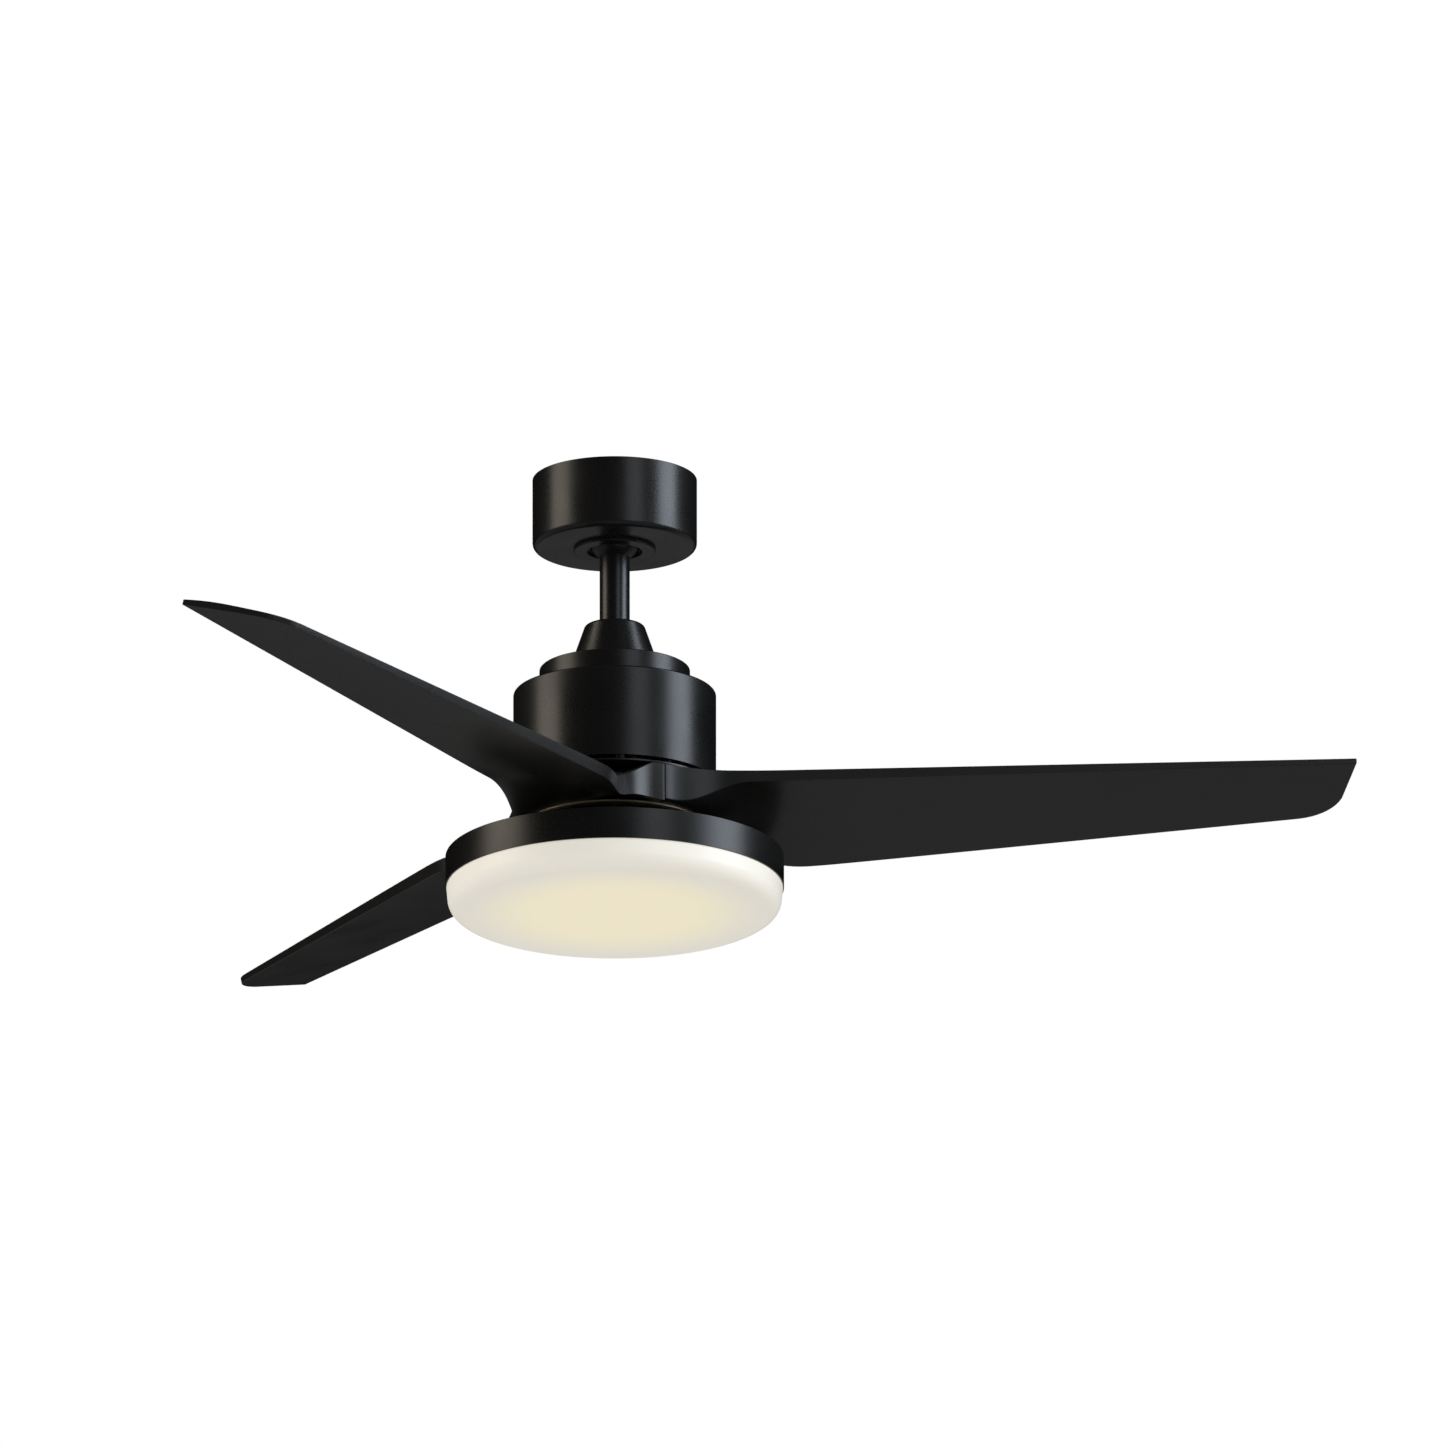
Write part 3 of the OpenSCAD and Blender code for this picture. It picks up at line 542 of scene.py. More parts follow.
# Moulded black ABS of the electronics' cases: matt
CASE_PLASTIC = MouldedPlastic("black_case_plastic", "#202020", 0.50)
# Moulded nylon: off-white with a soft sheen
WHITE_NYLON = MouldedPlastic("white_nylon", "#e6e4dc", 0.45)
# Glass-fibre sleeve round the leads: matt, with a coarse ripple
LEAD_SLEEVE = MouldedPlastic(
    "lead_sleeve", "#1f1f1f", 0.60, texture_mm=1.2, texture_height_mm=0.05)
FINISHES: tuple[Finish, ...] = (
    POWDER_COAT, BLADE_ABS, OPAL, ZINC, YELLOW_ZINC, FASTENER, BEARING_STEEL, CAGE_BRASS,
    TRAY_ALUMINIUM, LAMINATIONS, COPPER_WIRE, FERRITE, EARTH_GREEN, SOLDER_MASK, PHOSPHOR,
    GREEN_BOARD, COMPONENTS, CASE_PLASTIC, WHITE_NYLON, LEAD_SLEEVE,
)


def install(piece: Object, body: Body, finish: Finish, *nodes: str) -> None:
    """Dress a new piece, let it ride on its body and stand for its CAD nodes.

    Args:
        piece: the new piece, in its place.
        body: the CAD body that it moves with.
        finish: its finish, which has the name of its material slot.
        nodes: the CAD nodes that it stands for.
    """
    finish.dress(piece)
    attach(piece, body.value)
    if nodes:
        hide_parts(*nodes)
    LOG.info("made %s: %d faces, %s", piece.name, len(piece.data.polygons), finish.name)


# ---------- sub-assemblies ----------


@dataclass
class CeilingMount:
    """The canopy and the trim ring that hides its screws."""

    wall: float = 1.2
    fillet: float = 5.1
    top_edge: float = 0.5
    ring_edge: float = 1.1
    ring_wall: float = 1.2
    ring_step: float = 2.0

    def build(self) -> None:
        """Make the canopy and its trim ring."""
        low, high = box_mm("canopy")
        ring_low, ring_high = box_mm("canopy_trim_ring")
        foot = low.z
        hole = self.hole_radius()
        canopy = turned("canopy_shell", rounded(cup(
            hole, high.x, foot, 0.0, self.wall,
            (0.3, self.fillet, self.top_edge, 0.3, self.fillet - self.wall, 0.3)), steps=8))
        install(canopy, Body.CEILING, POWDER_COAT, "canopy")
        lip = ring_high.x
        inside = lip - self.ring_wall
        ring = turned("canopy_ring", rounded([
            (hole, foot, 0.0), (hole, ring_low.z, 0.5), (lip, ring_low.z, self.ring_edge),
            (lip, foot, 0.0), (inside, foot, 0.0), (inside, foot - self.ring_step, 0.3),
            (hole + 1, foot - self.ring_step, 0.3), (hole + 1, foot, 0.0),
        ]))
        install(ring, Body.CEILING, POWDER_COAT, "canopy_trim_ring")

    @staticmethod
    def hole_radius() -> float:
        """Return the radius of the canopy's hole in mm, from the ring's mesh."""
        ring = frame["nodes"]["canopy_trim_ring"]
        return min(math.hypot(v.co.x, v.co.y) for v in ring.data.vertices) / MM


@dataclass
class HangingStem:
    """The downrod and the coupling cover at its foot."""

    cover_edge: float = 4.0
    cover_wall: float = 1.5
    cover_slope: float = 0.351
    cover_ease: float = 0.2
    rod_wall: float = 2.75
    rod_gap: float = 0.5

    def build(self) -> None:
        """Make the downrod and the coupling cover."""
        rod_low, rod_high = box_mm("downrod")
        radius = rod_high.x
        rod = turned("downrod_tube", rounded([
            (radius, rod_low.z, 0.4), (radius, rod_high.z, 0.4),
            (radius - self.rod_wall, rod_high.z, 0.4), (radius - self.rod_wall, rod_low.z, 0.4),
        ]))
        install(rod, Body.HANGING, POWDER_COAT, "downrod")
        low, high = box_mm("coupling_cover")
        foot_r, wall = high.x, self.cover_wall
        top_r = foot_r - (high.z - low.z) * self.cover_slope + self.cover_ease
        hole = radius + self.rod_gap
        cover = turned("coupling_cone", rounded([
            (foot_r, low.z, 0.3), (top_r, high.z, self.cover_edge), (hole, high.z, 0.4),
            (hole, high.z - wall, 0.3), (top_r - wall, high.z - wall, self.cover_edge - wall),
            (foot_r - wall, low.z, 0.3),
        ], steps=8))
        install(cover, Body.HANGING, POWDER_COAT, "coupling_cover")


@dataclass
class MotorCase:
    """The motor's top cover and its housing."""

    wall: float = 1.5
    cover_hole: float = 22.0
    cover_rounds: Rounds = (0.3, 1.3, 0.2, 0.2, 0.3, 0.2)
    housing_hole: float = 40.0
    housing_rounds: Rounds = (0.3, 2.2, 0.35, 0.35, 0.7, 0.3)

    def build(self) -> None:
        """Make the top cover and the housing."""
        low, high = box_mm("motor_top_cover")
        cover = turned("motor_cap", rounded(cup(
            self.cover_hole, high.x, high.z, low.z, self.wall, self.cover_rounds)))
        install(cover, Body.HANGING, POWDER_COAT, "motor_top_cover")
        low, high = box_mm("motor_housing")
        housing = turned("motor_shell", rounded(cup(
            self.housing_hole, high.x, high.z, low.z, self.wall, self.housing_rounds)))
        install(housing, Body.HANGING, POWDER_COAT, "motor_housing")


@dataclass
class BladeShape:
    """One blade moulding in its own u (outwards) and v (to the trailing edge), in mm.

    The moulding is a third of the hub ring and the pitched panel that grows out of it. Its plan is
    a strip between a leading path and a trailing path. Both paths start on the ring's inner bore,
    run out along the seam, round the hub circle, through a fillet and along the blade's edge.
    """

    hub_r: float
    hub_top: float
    hub_foot: float
    # The hub ring: its bore and the seams between the three mouldings
    bore_r: float = 42.0
    seam_deg: float = 60.0
    seam_gap: float = 0.2
    # The outline: straight leading side, tapered trailing side, slanted tip with one round corner
    lead_v: float = -59.2
    tip_u: float = 657.1
    trail_v0: float = 109.96
    trail_taper: float = 0.1294
    tip_slant: float = 0.23
    tip_round: float = 48.0
    # The root: fillets against the hub circle, and the inboard edge through (root_u, root_v)
    lead_fillet: float = 95.0
    trail_fillet: float = 54.0
    root_v: float = 53.5
    root_u: float = 72.5
    root_slope: float = 0.42
    root_blend: float = 7.0
    # The pitched plane of the underside, and the thickness over it
    plane_lift: float = 3.9
    tip_rise: float = 0.0306
    pitch_fall: float = 0.2445
    edge_t0: float = 12.7
    edge_loss: float = 0.0116
    crown: float = 1.6
    # How the blade grows into the ring; each pair is where a ramp starts and its length
    under_reach: float = 58.0
    under_inset: float = 7.0
    under_power: float = 1.2
    upper_reach: float = 83.0
    upper_power: float = 1.3
    upright_gain: float = 1.6
    foot_lift: float = 3.0
    foot_rise_deg: Point = (10.0, 25.0)
    foot_fall_deg: Point = (38.0, 20.0)
    scoop_depth: float = 12.0
    scoop_rise_deg: Point = (6.0, 24.0)
    scoop_fall_deg: Point = (52.0, -17.0)
    scoop_core: Point = (64.0, 8.0)
    # Rows and columns of faces, and steps along the trailing side
    seam_rows: int = 8
    arc_rows: int = 3
    fillet_rows: int = 24
    panel_rows: int = 100
    columns: int = 44
    edge_steps: int = 90
    tip_steps: int = 24
    edge_round: float = 0.7
    lead_path: list[Point] = field(default_factory=list)
    trail_path: list[Point] = field(default_factory=list)

    def __post_init__(self) -> None:
        """Work out the two side paths, row by row."""
        lead_centre = self.lead_centre()
        trail_centre = self.trail_centre()
        slope = math.atan(self.root_slope)
        lead_touch = math.degrees(math.atan2(lead_centre[1], lead_centre[0]))
        trail_touch = math.degrees(math.atan2(trail_centre[1], trail_centre[0]))
        for i in range(self.seam_rows):
            r = mix(self.bore_r, self.hub_r, i / self.seam_rows)
            self.lead_path.append(self.polar(r, -self.seam_deg, self.seam_gap))
            self.trail_path.append(self.polar(r, self.seam_deg, -self.seam_gap))
        for i in range(self.arc_rows):
            t = i / self.arc_rows
            gap = self.seam_gap * (1 - t)
            self.lead_path.append(
                self.polar(self.hub_r, mix(-self.seam_deg, lead_touch, t), gap))
            self.trail_path.append(
                self.polar(self.hub_r, mix(self.seam_deg, trail_touch, t), -gap))
        lead_sweep = 90 - abs(lead_touch)
        trail_sweep = 90 - trail_touch + math.degrees(slope)
        for i in range(self.fillet_rows):
            t = i / self.fillet_rows
            self.lead_path.append(self.round_about(
                lead_centre, self.lead_fillet, 180 + lead_touch - lead_sweep * t))
            self.trail_path.append(self.round_about(
                trail_centre, self.trail_fillet, 180 + trail_touch + trail_sweep * t))
        outer_trail = self.trail_points(trail_centre[0] + self.trail_fillet * math.sin(slope))
        for i in range(self.panel_rows + 1):
            t = i / self.panel_rows
            self.lead_path.append((mix(lead_centre[0], self.tip_u, t), self.lead_v))
            self.trail_path.append(self.along(outer_trail, t))

    def lead_centre(self) -> Point:
        """Return the centre of the fillet between the hub circle and the leading side."""
        v = self.lead_v - self.lead_fillet
        return math.sqrt((self.hub_r + self.lead_fillet) ** 2 - v ** 2), v

    def trail_centre(self) -> Point:
        """Return the centre of the fillet between the hub circle and the root's inboard edge.

        The centre lies on a line beside that edge, where |(u, slope * u + rise)| = reach.
        """
        rise = self.root_v - self.root_slope * self.root_u
        rise += self.trail_fillet / math.cos(math.atan(self.root_slope))
        reach = self.hub_r + self.trail_fillet
        a = 1 + self.root_slope ** 2
        b = 2 * self.root_slope * rise
        c = rise ** 2 - reach ** 2
        u = (-b + math.sqrt(b * b - 4 * a * c)) / (2 * a)
        return u, self.root_slope * u + rise

    @staticmethod
    def round_about(centre: Point, radius: float, degrees: float) -> Point:
        """Return the point at an angle on a circle."""
        angle = math.radians(degrees)
        return centre[0] + radius * math.cos(angle), centre[1] + radius * math.sin(angle)

    @staticmethod
    def polar(r: float, degrees: float, aside: float = 0.0) -> Point:
        """Place a point round the hub.

        Args:
            r: distance from the axis.
            degrees: angle from the blade's middle line.
            aside: a small move square to the radius.

        Returns:
            The point's u and v.
        """
        angle = math.radians(degrees)
        return (r * math.cos(angle) - aside * math.sin(angle),
                r * math.sin(angle) + aside * math.cos(angle))

    @staticmethod
    def along(points: Sequence[Point], share: float) -> Point:
        """Walk along a line of points.

        Args:
            points: the line's points.
            share: how far to walk, from 0 at its start to 1 at its end.

        Returns:
            The point reached.
        """
        lengths = [0.0]
        for p, q in zip(points, points[1:]):
            lengths.append(lengths[-1] + math.dist(p, q))
        target = share * lengths[-1]
        for i in range(1, len(points)):
            if lengths[i] >= target:
                part = (target - lengths[i - 1]) / max(lengths[i] - lengths[i - 1], 1e-9)
                return (mix(points[i - 1][0], points[i][0], part),
                        mix(points[i - 1][1], points[i][1], part))
        return points[-1]

    def trail_points(self, start_u: float) -> list[Point]:
        """Trace the trailing side.

        Args:
            start_u: where its fillet ends and the root's inboard edge begins.

        Returns:
            Points along the root, the trailing edge and the tip's rounding.
        """
        trail_angle = math.atan(self.trail_taper)
        slant = math.atan(self.tip_slant)
        # The sharp corner between the trailing edge and the slanted tip
        corner_u = ((self.tip_u - self.tip_slant * (self.trail_v0 - self.lead_v))
                    / (1 - self.tip_slant * self.trail_taper))
        corner_v = self.trail_v0 - self.trail_taper * corner_u
        sweep = math.pi / 2 - trail_angle - slant
        cut = self.tip_round * math.tan(sweep / 2)
        round_start = corner_u - cut * math.cos(trail_angle)
        points = []
        for i in range(self.edge_steps + 1):
            u = mix(start_u, round_start, i / self.edge_steps)
            edge = self.trail_v0 - self.trail_taper * u
            root = self.root_v + self.root_slope * (u - self.root_u)
            points.append((u, (edge + root - math.hypot(edge - root, self.root_blend)) / 2))
        centre_u = round_start - self.tip_round * math.sin(trail_angle)
        centre_v = (corner_v + cut * math.sin(trail_angle)
                    - self.tip_round * math.cos(trail_angle))
        for i in range(1, self.tip_steps + 1):
            angle = math.pi / 2 - trail_angle - sweep * i / self.tip_steps
            points.append(self.round_about(
                (centre_u, centre_v), self.tip_round, math.degrees(angle)))
        return points

    @property
    def rows(self) -> int:
        """Number of rows of faces along the moulding."""
        return len(self.lead_path) - 1

    def plan(self, row: int, column: int) -> Point:
        """Find a grid point's place in plan; rows inside the ring bow to follow its bore.

        Args:
            row: the row along the moulding, from 0 at the bore.
            column: the column across it, from 0 at the leading side.

        Returns:
            The point's u and v.
        """
        lead, trail = self.lead_path[row], self.trail_path[row]
        w = column / self.columns
        flat = (mix(lead[0], trail[0], w), mix(lead[1], trail[1], w))
        bow = max(0.0, 1 - row / self.seam_rows)
        if bow == 0:
            return flat
        half = self.seam_deg
        ring = self.polar(math.hypot(*lead), mix(-half, half, w))
        return mix(flat[0], ring[0], bow), mix(flat[1], ring[1], bow)

    def hub_edge_u(self, v: float) -> float:
        """Return how far out the hub circle lies at a distance v to the side."""
        return math.sqrt(max(0.0, self.hub_r ** 2 - v * v))

    def plane(self, u: float, v: float) -> float:
        """Return the height of the pitched underside."""
        return self.hub_foot + self.plane_lift + self.tip_rise * u - self.pitch_fall * v

    def lean(self, u: float, v: float, w: float) -> Vector:
        """Return half the blade's thickness as a vector square to its pitched plane.

        Args:
            u: distance outwards.
            v: distance to the trailing side.
            w: place across the chord, from 0 at the leading side to 1.

        Returns:
            The half thickness, which stands straight up at the hub.
        """
        thick = self.edge_t0 - self.edge_loss * u + self.crown * 4 * w * (1 - w)
        square = Vector((-self.tip_rise, self.pitch_fall, 1.0)).normalized() * thick / 2
        upright = 1 - min(1.0, self.hub_share(u, v) * self.upright_gain)
        return Vector((square.x * upright, square.y * upright, square.z))

    @staticmethod
    def part_way(value: float, ramp: Point) -> float:
        """Return how far a value has come along a ramp, given as its start and its length."""
        start, length = ramp
        return (value - start) / length

    def hub_share(self, u: float, v: float) -> float:
        """Return how much the upper side belongs to the hub ring, 1 at the hub circle."""
        t = (self.hub_edge_u(v) + self.upper_reach - u) / self.upper_reach
        return max(0.0, min(1.0, t)) ** self.upper_power

    def under(self, u: float, v: float, w: float) -> Corner:
        """Find a point of the underside, which drops into the hub ring's foot.

        Args:
            u: distance outwards.
            v: distance to the trailing side.
            w: place across the chord.

        Returns:
            The point's u, v and height.
        """
        t = (self.hub_edge_u(v) - self.under_inset + self.under_reach - u) / self.under_reach
        share = ease(max(0.0, min(1.0, t)) ** self.under_power)
        angle = math.degrees(math.atan2(v, u))
        lift = ease(self.part_way(angle, self.foot_rise_deg))
        lift *= 1 - ease(self.part_way(angle, self.foot_fall_deg))
        foot = self.hub_foot + self.foot_lift * lift
        lean = self.lean(u, v, w)
        return u - lean.x, v - lean.y, mix(self.plane(u, v), foot, share)

    def upper(self, u: float, v: float, w: float) -> Corner:
        """Find a point of the upper side, with the scoop beside the trailing root.

        Args:
            u: distance outwards.
            v: distance to the trailing side.
            w: place across the chord.

        Returns:
            The point's u, v and height.
        """
        angle = math.degrees(math.atan2(v, u))
        scoop = min(1.0, max(0.0, self.part_way(angle, self.scoop_fall_deg)))
        scoop *= ease(self.part_way(angle, self.scoop_rise_deg))
        scoop *= ease(self.part_way(math.hypot(u, v), self.scoop_core))
        lean = self.lean(u, v, w)
        top = self.hub_top - self.scoop_depth * scoop
        height = mix(self.plane(u, v) + 2 * lean.z, top, self.hub_share(u, v))
        return u + lean.x, v + lean.y, height


@dataclass
class Blades:
    """The three blade mouldings of the rotor."""

    count: int = 3

    def build(self) -> None:
        """Model one blade and copy it round the hub, each copy with its own mesh."""
        flange_low, flange_high = box_mm("hub_flange")
        clamp_high = box_mm("clamp_plate")[1]
        shape = BladeShape(flange_high.x, flange_low.z, clamp_high.z)
        first = self.model(shape)
        for number in range(1, self.count + 1):
            blade = self.copy(first, number)
            install(blade, Body.ROTOR, BLADE_ABS, f"blade_{number}")
        bpy.data.objects.remove(first)

    def model(self, shape: BladeShape) -> Object:
        """Shape a subdivided slab into one blade.

        Args:
            shape: the blade's outline and surfaces.

        Returns:
            The blade along +X, with rounded edges.
        """
        deselect()
        bpy.ops.mesh.primitive_grid_add(
            x_subdivisions=shape.rows, y_subdivisions=shape.columns, size=1.0)
        slab = bpy.context.object
        edit_all()
        bpy.ops.mesh.extrude_region_move(TRANSFORM_OT_translate={"value": (0, 0, 1)})
        bpy.ops.object.mode_set(mode="OBJECT")
        rim: set[int] = set()
        for vertex in slab.data.vertices:
            row = round((vertex.co.x + 0.5) * shape.rows)
            column = round((vertex.co.y + 0.5) * shape.columns)
            if row in (0, shape.rows) or column in (0, shape.columns):
                rim.add(vertex.index)
            u, v = shape.plan(row, column)
            side = shape.upper if vertex.co.z > 0.5 else shape.under
            vertex.co = Vector(side(u, v, column / shape.columns)) * MM
        edit_all()
        bpy.ops.mesh.normals_make_consistent(inside=False)
        bpy.ops.mesh.select_all(action="DESELECT")
        bpy.ops.object.mode_set(mode="OBJECT")
        self.select_rim_edges(slab, rim)
        bpy.ops.object.mode_set(mode="EDIT")
        bpy.ops.mesh.select_mode(type="EDGE")
        bpy.ops.mesh.bevel(
            offset=shape.edge_round * MM, segments=3, profile=0.5, affect="EDGES",
            clamp_overlap=False)
        bpy.ops.mesh.select_mode(type="VERT")
        finish_mesh(slab, "blade_pattern")
        weight_normals(slab)
        return slab

    @staticmethod
    def select_rim_edges(slab: Object, rim: set[int]) -> None:
        """Select the edges where the blade's upper side and underside meet its side walls.

        Args:
            slab: the blade's mesh object.
            rim: the numbers of the vertices on its outline.
        """
        mesh = slab.data
        walls_of: dict[tuple[int, int], int] = {}
        for face in mesh.polygons:
            if all(i in rim for i in face.vertices):
                for key in face.edge_keys:
                    walls_of[key] = walls_of.get(key, 0) + 1
        for edge in mesh.edges:
            edge.select = walls_of.get(tuple(sorted(edge.vertices)), 0) == 1

    def copy(self, pattern: Object, number: int) -> Object:
        """Copy the pattern and turn it to its place, with its turn in its mesh.

        Args:
            pattern: the blade along +X.
            number: the blade's number, from 1.

        Returns:
            The copy.
        """
        deselect()
        bpy.context.view_layer.objects.active = pattern
        pattern.select_set(True)
        bpy.ops.object.duplicate()
        blade = bpy.context.object
        blade.rotation_euler.z = math.tau * (number - 1) / self.count
        bpy.ops.object.transform_apply(location=False, rotation=True, scale=False)
        blade.name = f"blade_moulding_{number}"
        blade.data.name = blade.name
        return blade


@dataclass
class HubPlates:
    """The flange over the blades and the clamp plate under them."""

    flange_hole: float = 26.0
    clamp_hole: float = 42.0

    def build(self) -> None:
        """Make the flange and the clamp plate."""
        low, high = box_mm("hub_flange")
        flange = turned("flange_disc", rounded([
            (self.flange_hole, low.z, 0.0), (high.x, low.z, 0.3), (high.x, high.z, 0.5),
            (self.flange_hole, high.z, 0.0)]))
        install(flange, Body.ROTOR, POWDER_COAT, "hub_flange")
        low, high = box_mm("clamp_plate")
        plate = turned("clamp_disc", rounded([
            (self.clamp_hole, low.z, 0.2), (high.x, low.z, 0.9), (high.x, high.z, 0.2),
            (self.clamp_hole, high.z, 0.2)]))
        install(plate, Body.ROTOR, YELLOW_ZINC, "clamp_plate")


@dataclass
class LightKit:
    """The neck, the pan and the opal lens."""

    neck_wall: float = 1.5
    neck_hole: float = 24.0
    neck_rounds: Rounds = (0.2, 0.6, 0.4, 0.4, 0.6, 0.2)
    pan_wall: float = 1.3
    pan_hole: float = 20.0
    pan_rounds: Rounds = (0.3, 0.5, 0.25, 0.25, 0.5, 0.3)
    lens_wall: float = 2.4
    lens_foot_r: float = 146.9
    lens_corner: float = 13.0
    lens_steps: int = 14
    seat_gap: float = 0.3
    rim_inset: float = 0.9
    collar_r: float = 144.5
    collar_wall: float = 2.0

    def build(self) -> None:
        """Make the neck, the pan and the lens."""
        low, high = box_mm("light_neck")
        neck = turned("neck_cup", rounded(cup(
            self.neck_hole, high.x, low.z, high.z, self.neck_wall, self.neck_rounds)))
        install(neck, Body.HANGING, POWDER_COAT, "light_neck")
        low, high = box_mm("light_pan")
        pan = turned("pan_shell", rounded(cup(
            self.pan_hole, high.x, high.z, low.z, self.pan_wall, self.pan_rounds)))
        install(pan, Body.HANGING, POWDER_COAT, "light_pan")
        self.lens(high.x)

    def lens(self, pan_r: float) -> None:
        """Make the opal bowl with the collar that stands up inside the pan.

        Args:
            pan_r: the pan's outer radius in mm, which the bowl's rim stays inside.
        """
        low, high = box_mm("lens")
        seat = box_mm("light_pan")[0].z - self.seat_gap
        rim_r = pan_r - self.rim_inset
        wall, collar = self.lens_wall, self.collar_r
        inside = collar - self.collar_wall
        floor = low.z + wall
        inner_r = self.lens_foot_r - wall
        bowl = turned("opal_bowl", [(0.0, low.z)] + rounded([
            (0.0, low.z, 0.0), (self.lens_foot_r, low.z, self.lens_corner),
            (rim_r, seat, 0.5), (collar, seat, 0.2), (collar, high.z, 0.4),
            (inside, high.z, 0.4), (inside, seat - 1, 0.5),
            (inner_r, floor, self.lens_corner - wall), (0.0, floor, 0.0),
        ], closed=False, steps=self.lens_steps)[1:], closed=False)
        install(bowl, Body.LENS, OPAL, "lens")


@dataclass
class InnerWorks:
    """The CAD nodes that keep their own shape and take a finish."""

    def build(self) -> None:
        """Give every CAD node that is still shown the finish of its material slot."""
        by_name = {finish.name: finish for finish in FINISHES}
        slots = {s["node"]: s["material_slot"] for s in frame["record"]["subparts"]}
        for name, node in sorted(frame["nodes"].items()):
            if node.hide_render:
                continue
            finish = by_name[slots[name]]
            finish.dress(node)
            LOG.info("dressed %s in %s", name, finish.name)


@dataclass(frozen=True)
class Lamp:
    """An upright soft box that stands beside the fan and faces its axis; sizes in metres."""

    name: str
    azimuth: float
    distance: float
    width: float
    foot: float
    top: float
    radiance: float
    colour: str


@dataclass(frozen=True)
class StudioCloth(Finish):
    """Cloth round the studio, with a level of its own in the reflections."""

    level: float = 0.0

    def surface(self, tree: NodeTree, shader: Node) -> None:
        """Let the cloth show at its own level."""
        feed(tree, shader, {"Emission Color": WHITE, "Emission Strength": self.level})


@dataclass(frozen=True)
class PaleFloor(Finish):
    """Matt painted floor, lifted towards white where the camera sees it."""

    lift: float = 0.53

    def surface(self, tree: NodeTree, shader: Node) -> None:
        """Add the lift, which lights nothing else."""
        path = add_node(tree, "ShaderNodeLightPath")
        glow = add_node(
            tree, "ShaderNodeMath", {"operation": "MULTIPLY"},
            {0: path.outputs["Is Camera Ray"], 1: self.lift})
        feed(tree, shader, {"Emission Color": WHITE, "Emission Strength": glow.outputs[0]})


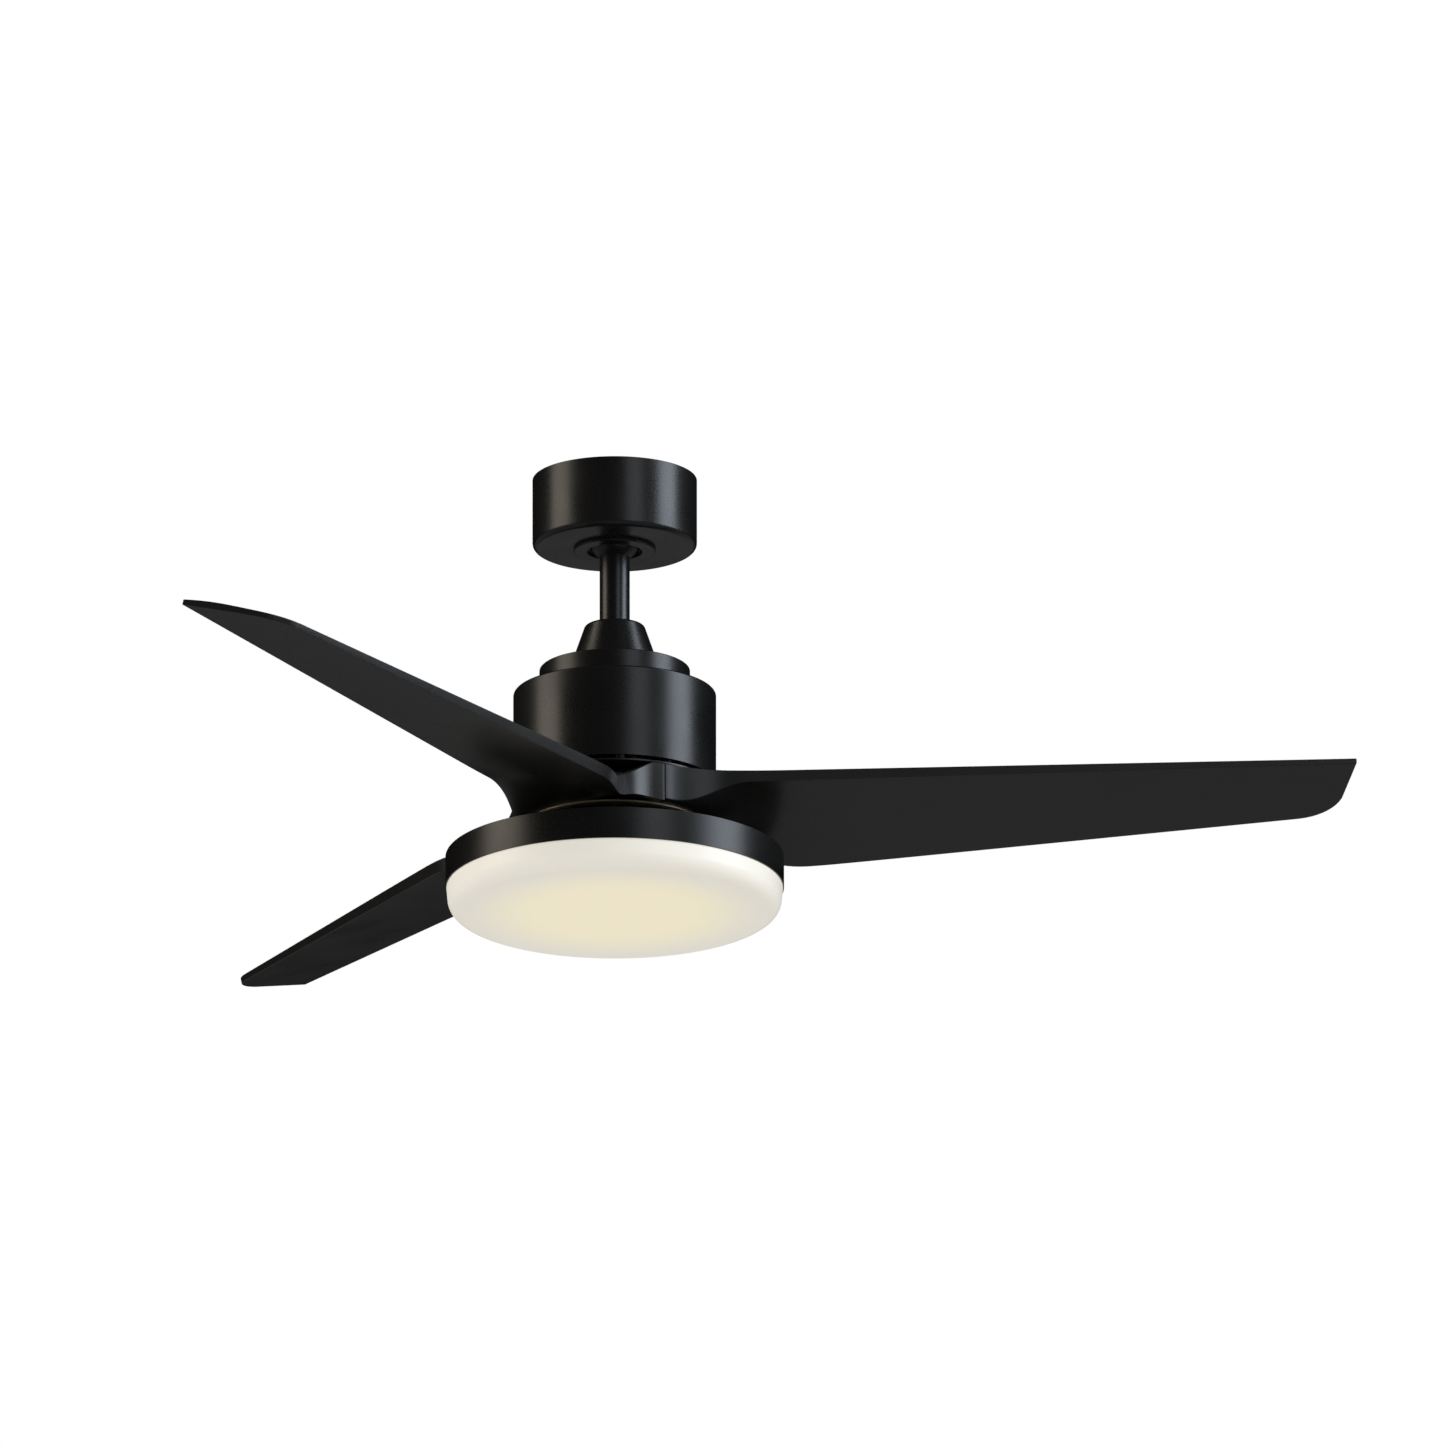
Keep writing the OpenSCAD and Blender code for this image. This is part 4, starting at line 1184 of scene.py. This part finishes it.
@dataclass
class Studio:
    """Camera, lamps, a pale floor, and cloths that only reflections see; sizes in metres."""

    aside: float = 0.0954
    centre_z: float = -0.2244
    azimuth: float = 0.28
    elevation: float = 17.2
    distance: float = 3.0
    frame_width: float = 1.2788
    floor_z: float = -2.7
    floor_size: float = 60.0
    drape_r: float = 3.6
    drape_sides: int = 64
    drape_top: float = 5.0
    skirt_gap: float = 0.01
    skirt_top: float = -0.85
    skirt_level: float = 0.18
    ambient: float = 0.45
    lamps: tuple[Lamp, ...] = (
        Lamp("left_box", -81, 2.6, 1.45, -0.1, 2.6, 2.6, "#fff4e2"),
        Lamp("right_box", 79, 2.6, 1.35, -0.1, 2.6, 5.1, "#e9f3ff"),
        Lamp("front_box", 28, 2.6, 1.0, -0.1, 2.2, 1.2, "#f4f8ff"),
    )

    def build(self) -> None:
        """Set up the whole studio."""
        scene = bpy.context.scene
        scene.view_settings.view_transform = "Standard"
        self.camera()
        self.world()
        self.floor()
        for lamp in self.lamps:
            self.lamp(lamp)

    def camera(self) -> None:
        """Add the camera: no perspective, looking up from below."""
        data = bpy.data.cameras.new("camera")
        data.type = "ORTHO"
        data.ortho_scale = self.frame_width
        data.clip_end = 100.0
        camera = bpy.data.objects.new("camera", data)
        bpy.context.scene.collection.objects.link(camera)
        turn, rise = math.radians(self.azimuth), math.radians(self.elevation)
        right = Vector((math.cos(turn), math.sin(turn), 0))
        forward = Vector((-math.sin(turn) * math.cos(rise), math.cos(turn) * math.cos(rise),
                          math.sin(rise)))
        centre = right * self.aside + Vector((0, 0, self.centre_z))
        camera.location = centre - forward * self.distance
        camera.rotation_euler = (math.pi / 2 + rise, 0, turn)
        bpy.context.scene.camera = camera

    def world(self) -> None:
        """White where the camera, a mirror or glass looks, and an even soft fill elsewhere."""
        world = bpy.data.worlds.new("studio")
        bpy.context.scene.world = world
        world.use_nodes = True
        tree = world.node_tree
        tree.nodes.clear()
        path = add_node(tree, "ShaderNodeLightPath")
        seen = add_node(
            tree, "ShaderNodeMath", {"operation": "MAXIMUM"},
            {0: path.outputs["Is Camera Ray"], 1: path.outputs["Is Glossy Ray"]})
        seen = add_node(
            tree, "ShaderNodeMath", {"operation": "MAXIMUM"},
            {0: seen.outputs[0], 1: path.outputs["Is Transmission Ray"]})
        strength = add_node(
            tree, "ShaderNodeMapRange", None,
            {"Value": seen.outputs[0], "To Min": self.ambient, "To Max": 1.0})
        shade = add_node(
            tree, "ShaderNodeBackground", None,
            {"Color": WHITE, "Strength": strength.outputs["Result"]})
        add_node(tree, "ShaderNodeOutputWorld", None, {"Surface": shade.outputs[0]})

    def floor(self) -> None:
        """Add the pale floor, and the black drapes that only reflections see."""
        deselect()
        bpy.ops.mesh.primitive_plane_add(size=self.floor_size, location=(0, 0, self.floor_z))
        floor = bpy.context.object
        floor.name = "floor"
        PaleFloor("pale_floor", "#f2f2f0", 0.9).dress(floor)
        black = StudioCloth("black_drapes", "#030303", 1.0)
        grey = StudioCloth("grey_skirt", "#030303", 1.0, level=self.skirt_level)
        self.cloth("drapes", self.skirt_top, self.drape_top, black)
        self.cloth("skirt", self.floor_z + self.skirt_gap, self.skirt_top, grey)

    def cloth(self, name: str, foot: float, top: float, finish: Finish) -> None:
        """Hang a cloth round the studio that only reflections see.

        Args:
            name: the cloth's name.
            foot: height of its lower edge.
            top: height of its upper edge.
            finish: its finish.
        """
        deselect()
        bpy.ops.mesh.primitive_cylinder_add(
            vertices=self.drape_sides, radius=self.drape_r, depth=top - foot, end_fill_type="NGON",
            location=(0, 0, (top + foot) / 2))
        cloth = bpy.context.object
        cloth.name = name
        bpy.ops.object.mode_set(mode="EDIT")
        bpy.ops.mesh.select_all(action="DESELECT")
        bpy.ops.object.mode_set(mode="OBJECT")
        # The two cloths meet without a floor or a roof between them
        for face in cloth.data.polygons:
            level = cloth.location.z + face.center.z
            face.select = len(face.vertices) > 4 and math.isclose(
                level, self.skirt_top, abs_tol=self.skirt_gap)
        bpy.ops.object.mode_set(mode="EDIT")
        bpy.ops.mesh.delete(type="ONLY_FACE")
        bpy.ops.object.mode_set(mode="OBJECT")
        finish.dress(cloth)
        for kind in ("camera", "diffuse", "transmission", "volume_scatter", "shadow"):
            setattr(cloth, f"visible_{kind}", False)

    def lamp(self, lamp: Lamp) -> None:
        """Add one soft box, seen in reflections but not by the camera.

        Args:
            lamp: the box's place, size and light.
        """
        height = lamp.top - lamp.foot
        data = bpy.data.lights.new(lamp.name, "AREA")
        data.shape = "RECTANGLE"
        data.size, data.size_y = lamp.width, height
        data.energy = lamp.radiance * math.pi * lamp.width * height
        data.color = linear(lamp.colour)[:3]
        box = bpy.data.objects.new(lamp.name, data)
        bpy.context.scene.collection.objects.link(box)
        turn = math.radians(lamp.azimuth)
        out = Vector((math.sin(turn), -math.cos(turn), 0))
        box.location = out * lamp.distance + Vector((0, 0, (lamp.top + lamp.foot) / 2))
        box.rotation_euler = (math.pi / 2, 0, turn)
        box.visible_camera = False


def main() -> None:
    """Build the fan's looks round the frame and report each piece."""
    logging.basicConfig(level=logging.INFO, format="%(name)s: %(message)s")
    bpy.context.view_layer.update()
    Studio().build()
    assemblies: tuple[Any, ...] = (
        CeilingMount(), HangingStem(), MotorCase(), HubPlates(), Blades(), LightKit(),
        InnerWorks(),
    )
    for assembly in assemblies:
        LOG.info("building %s", type(assembly).__name__)
        assembly.build()


if __name__ == "__main__":
    main()
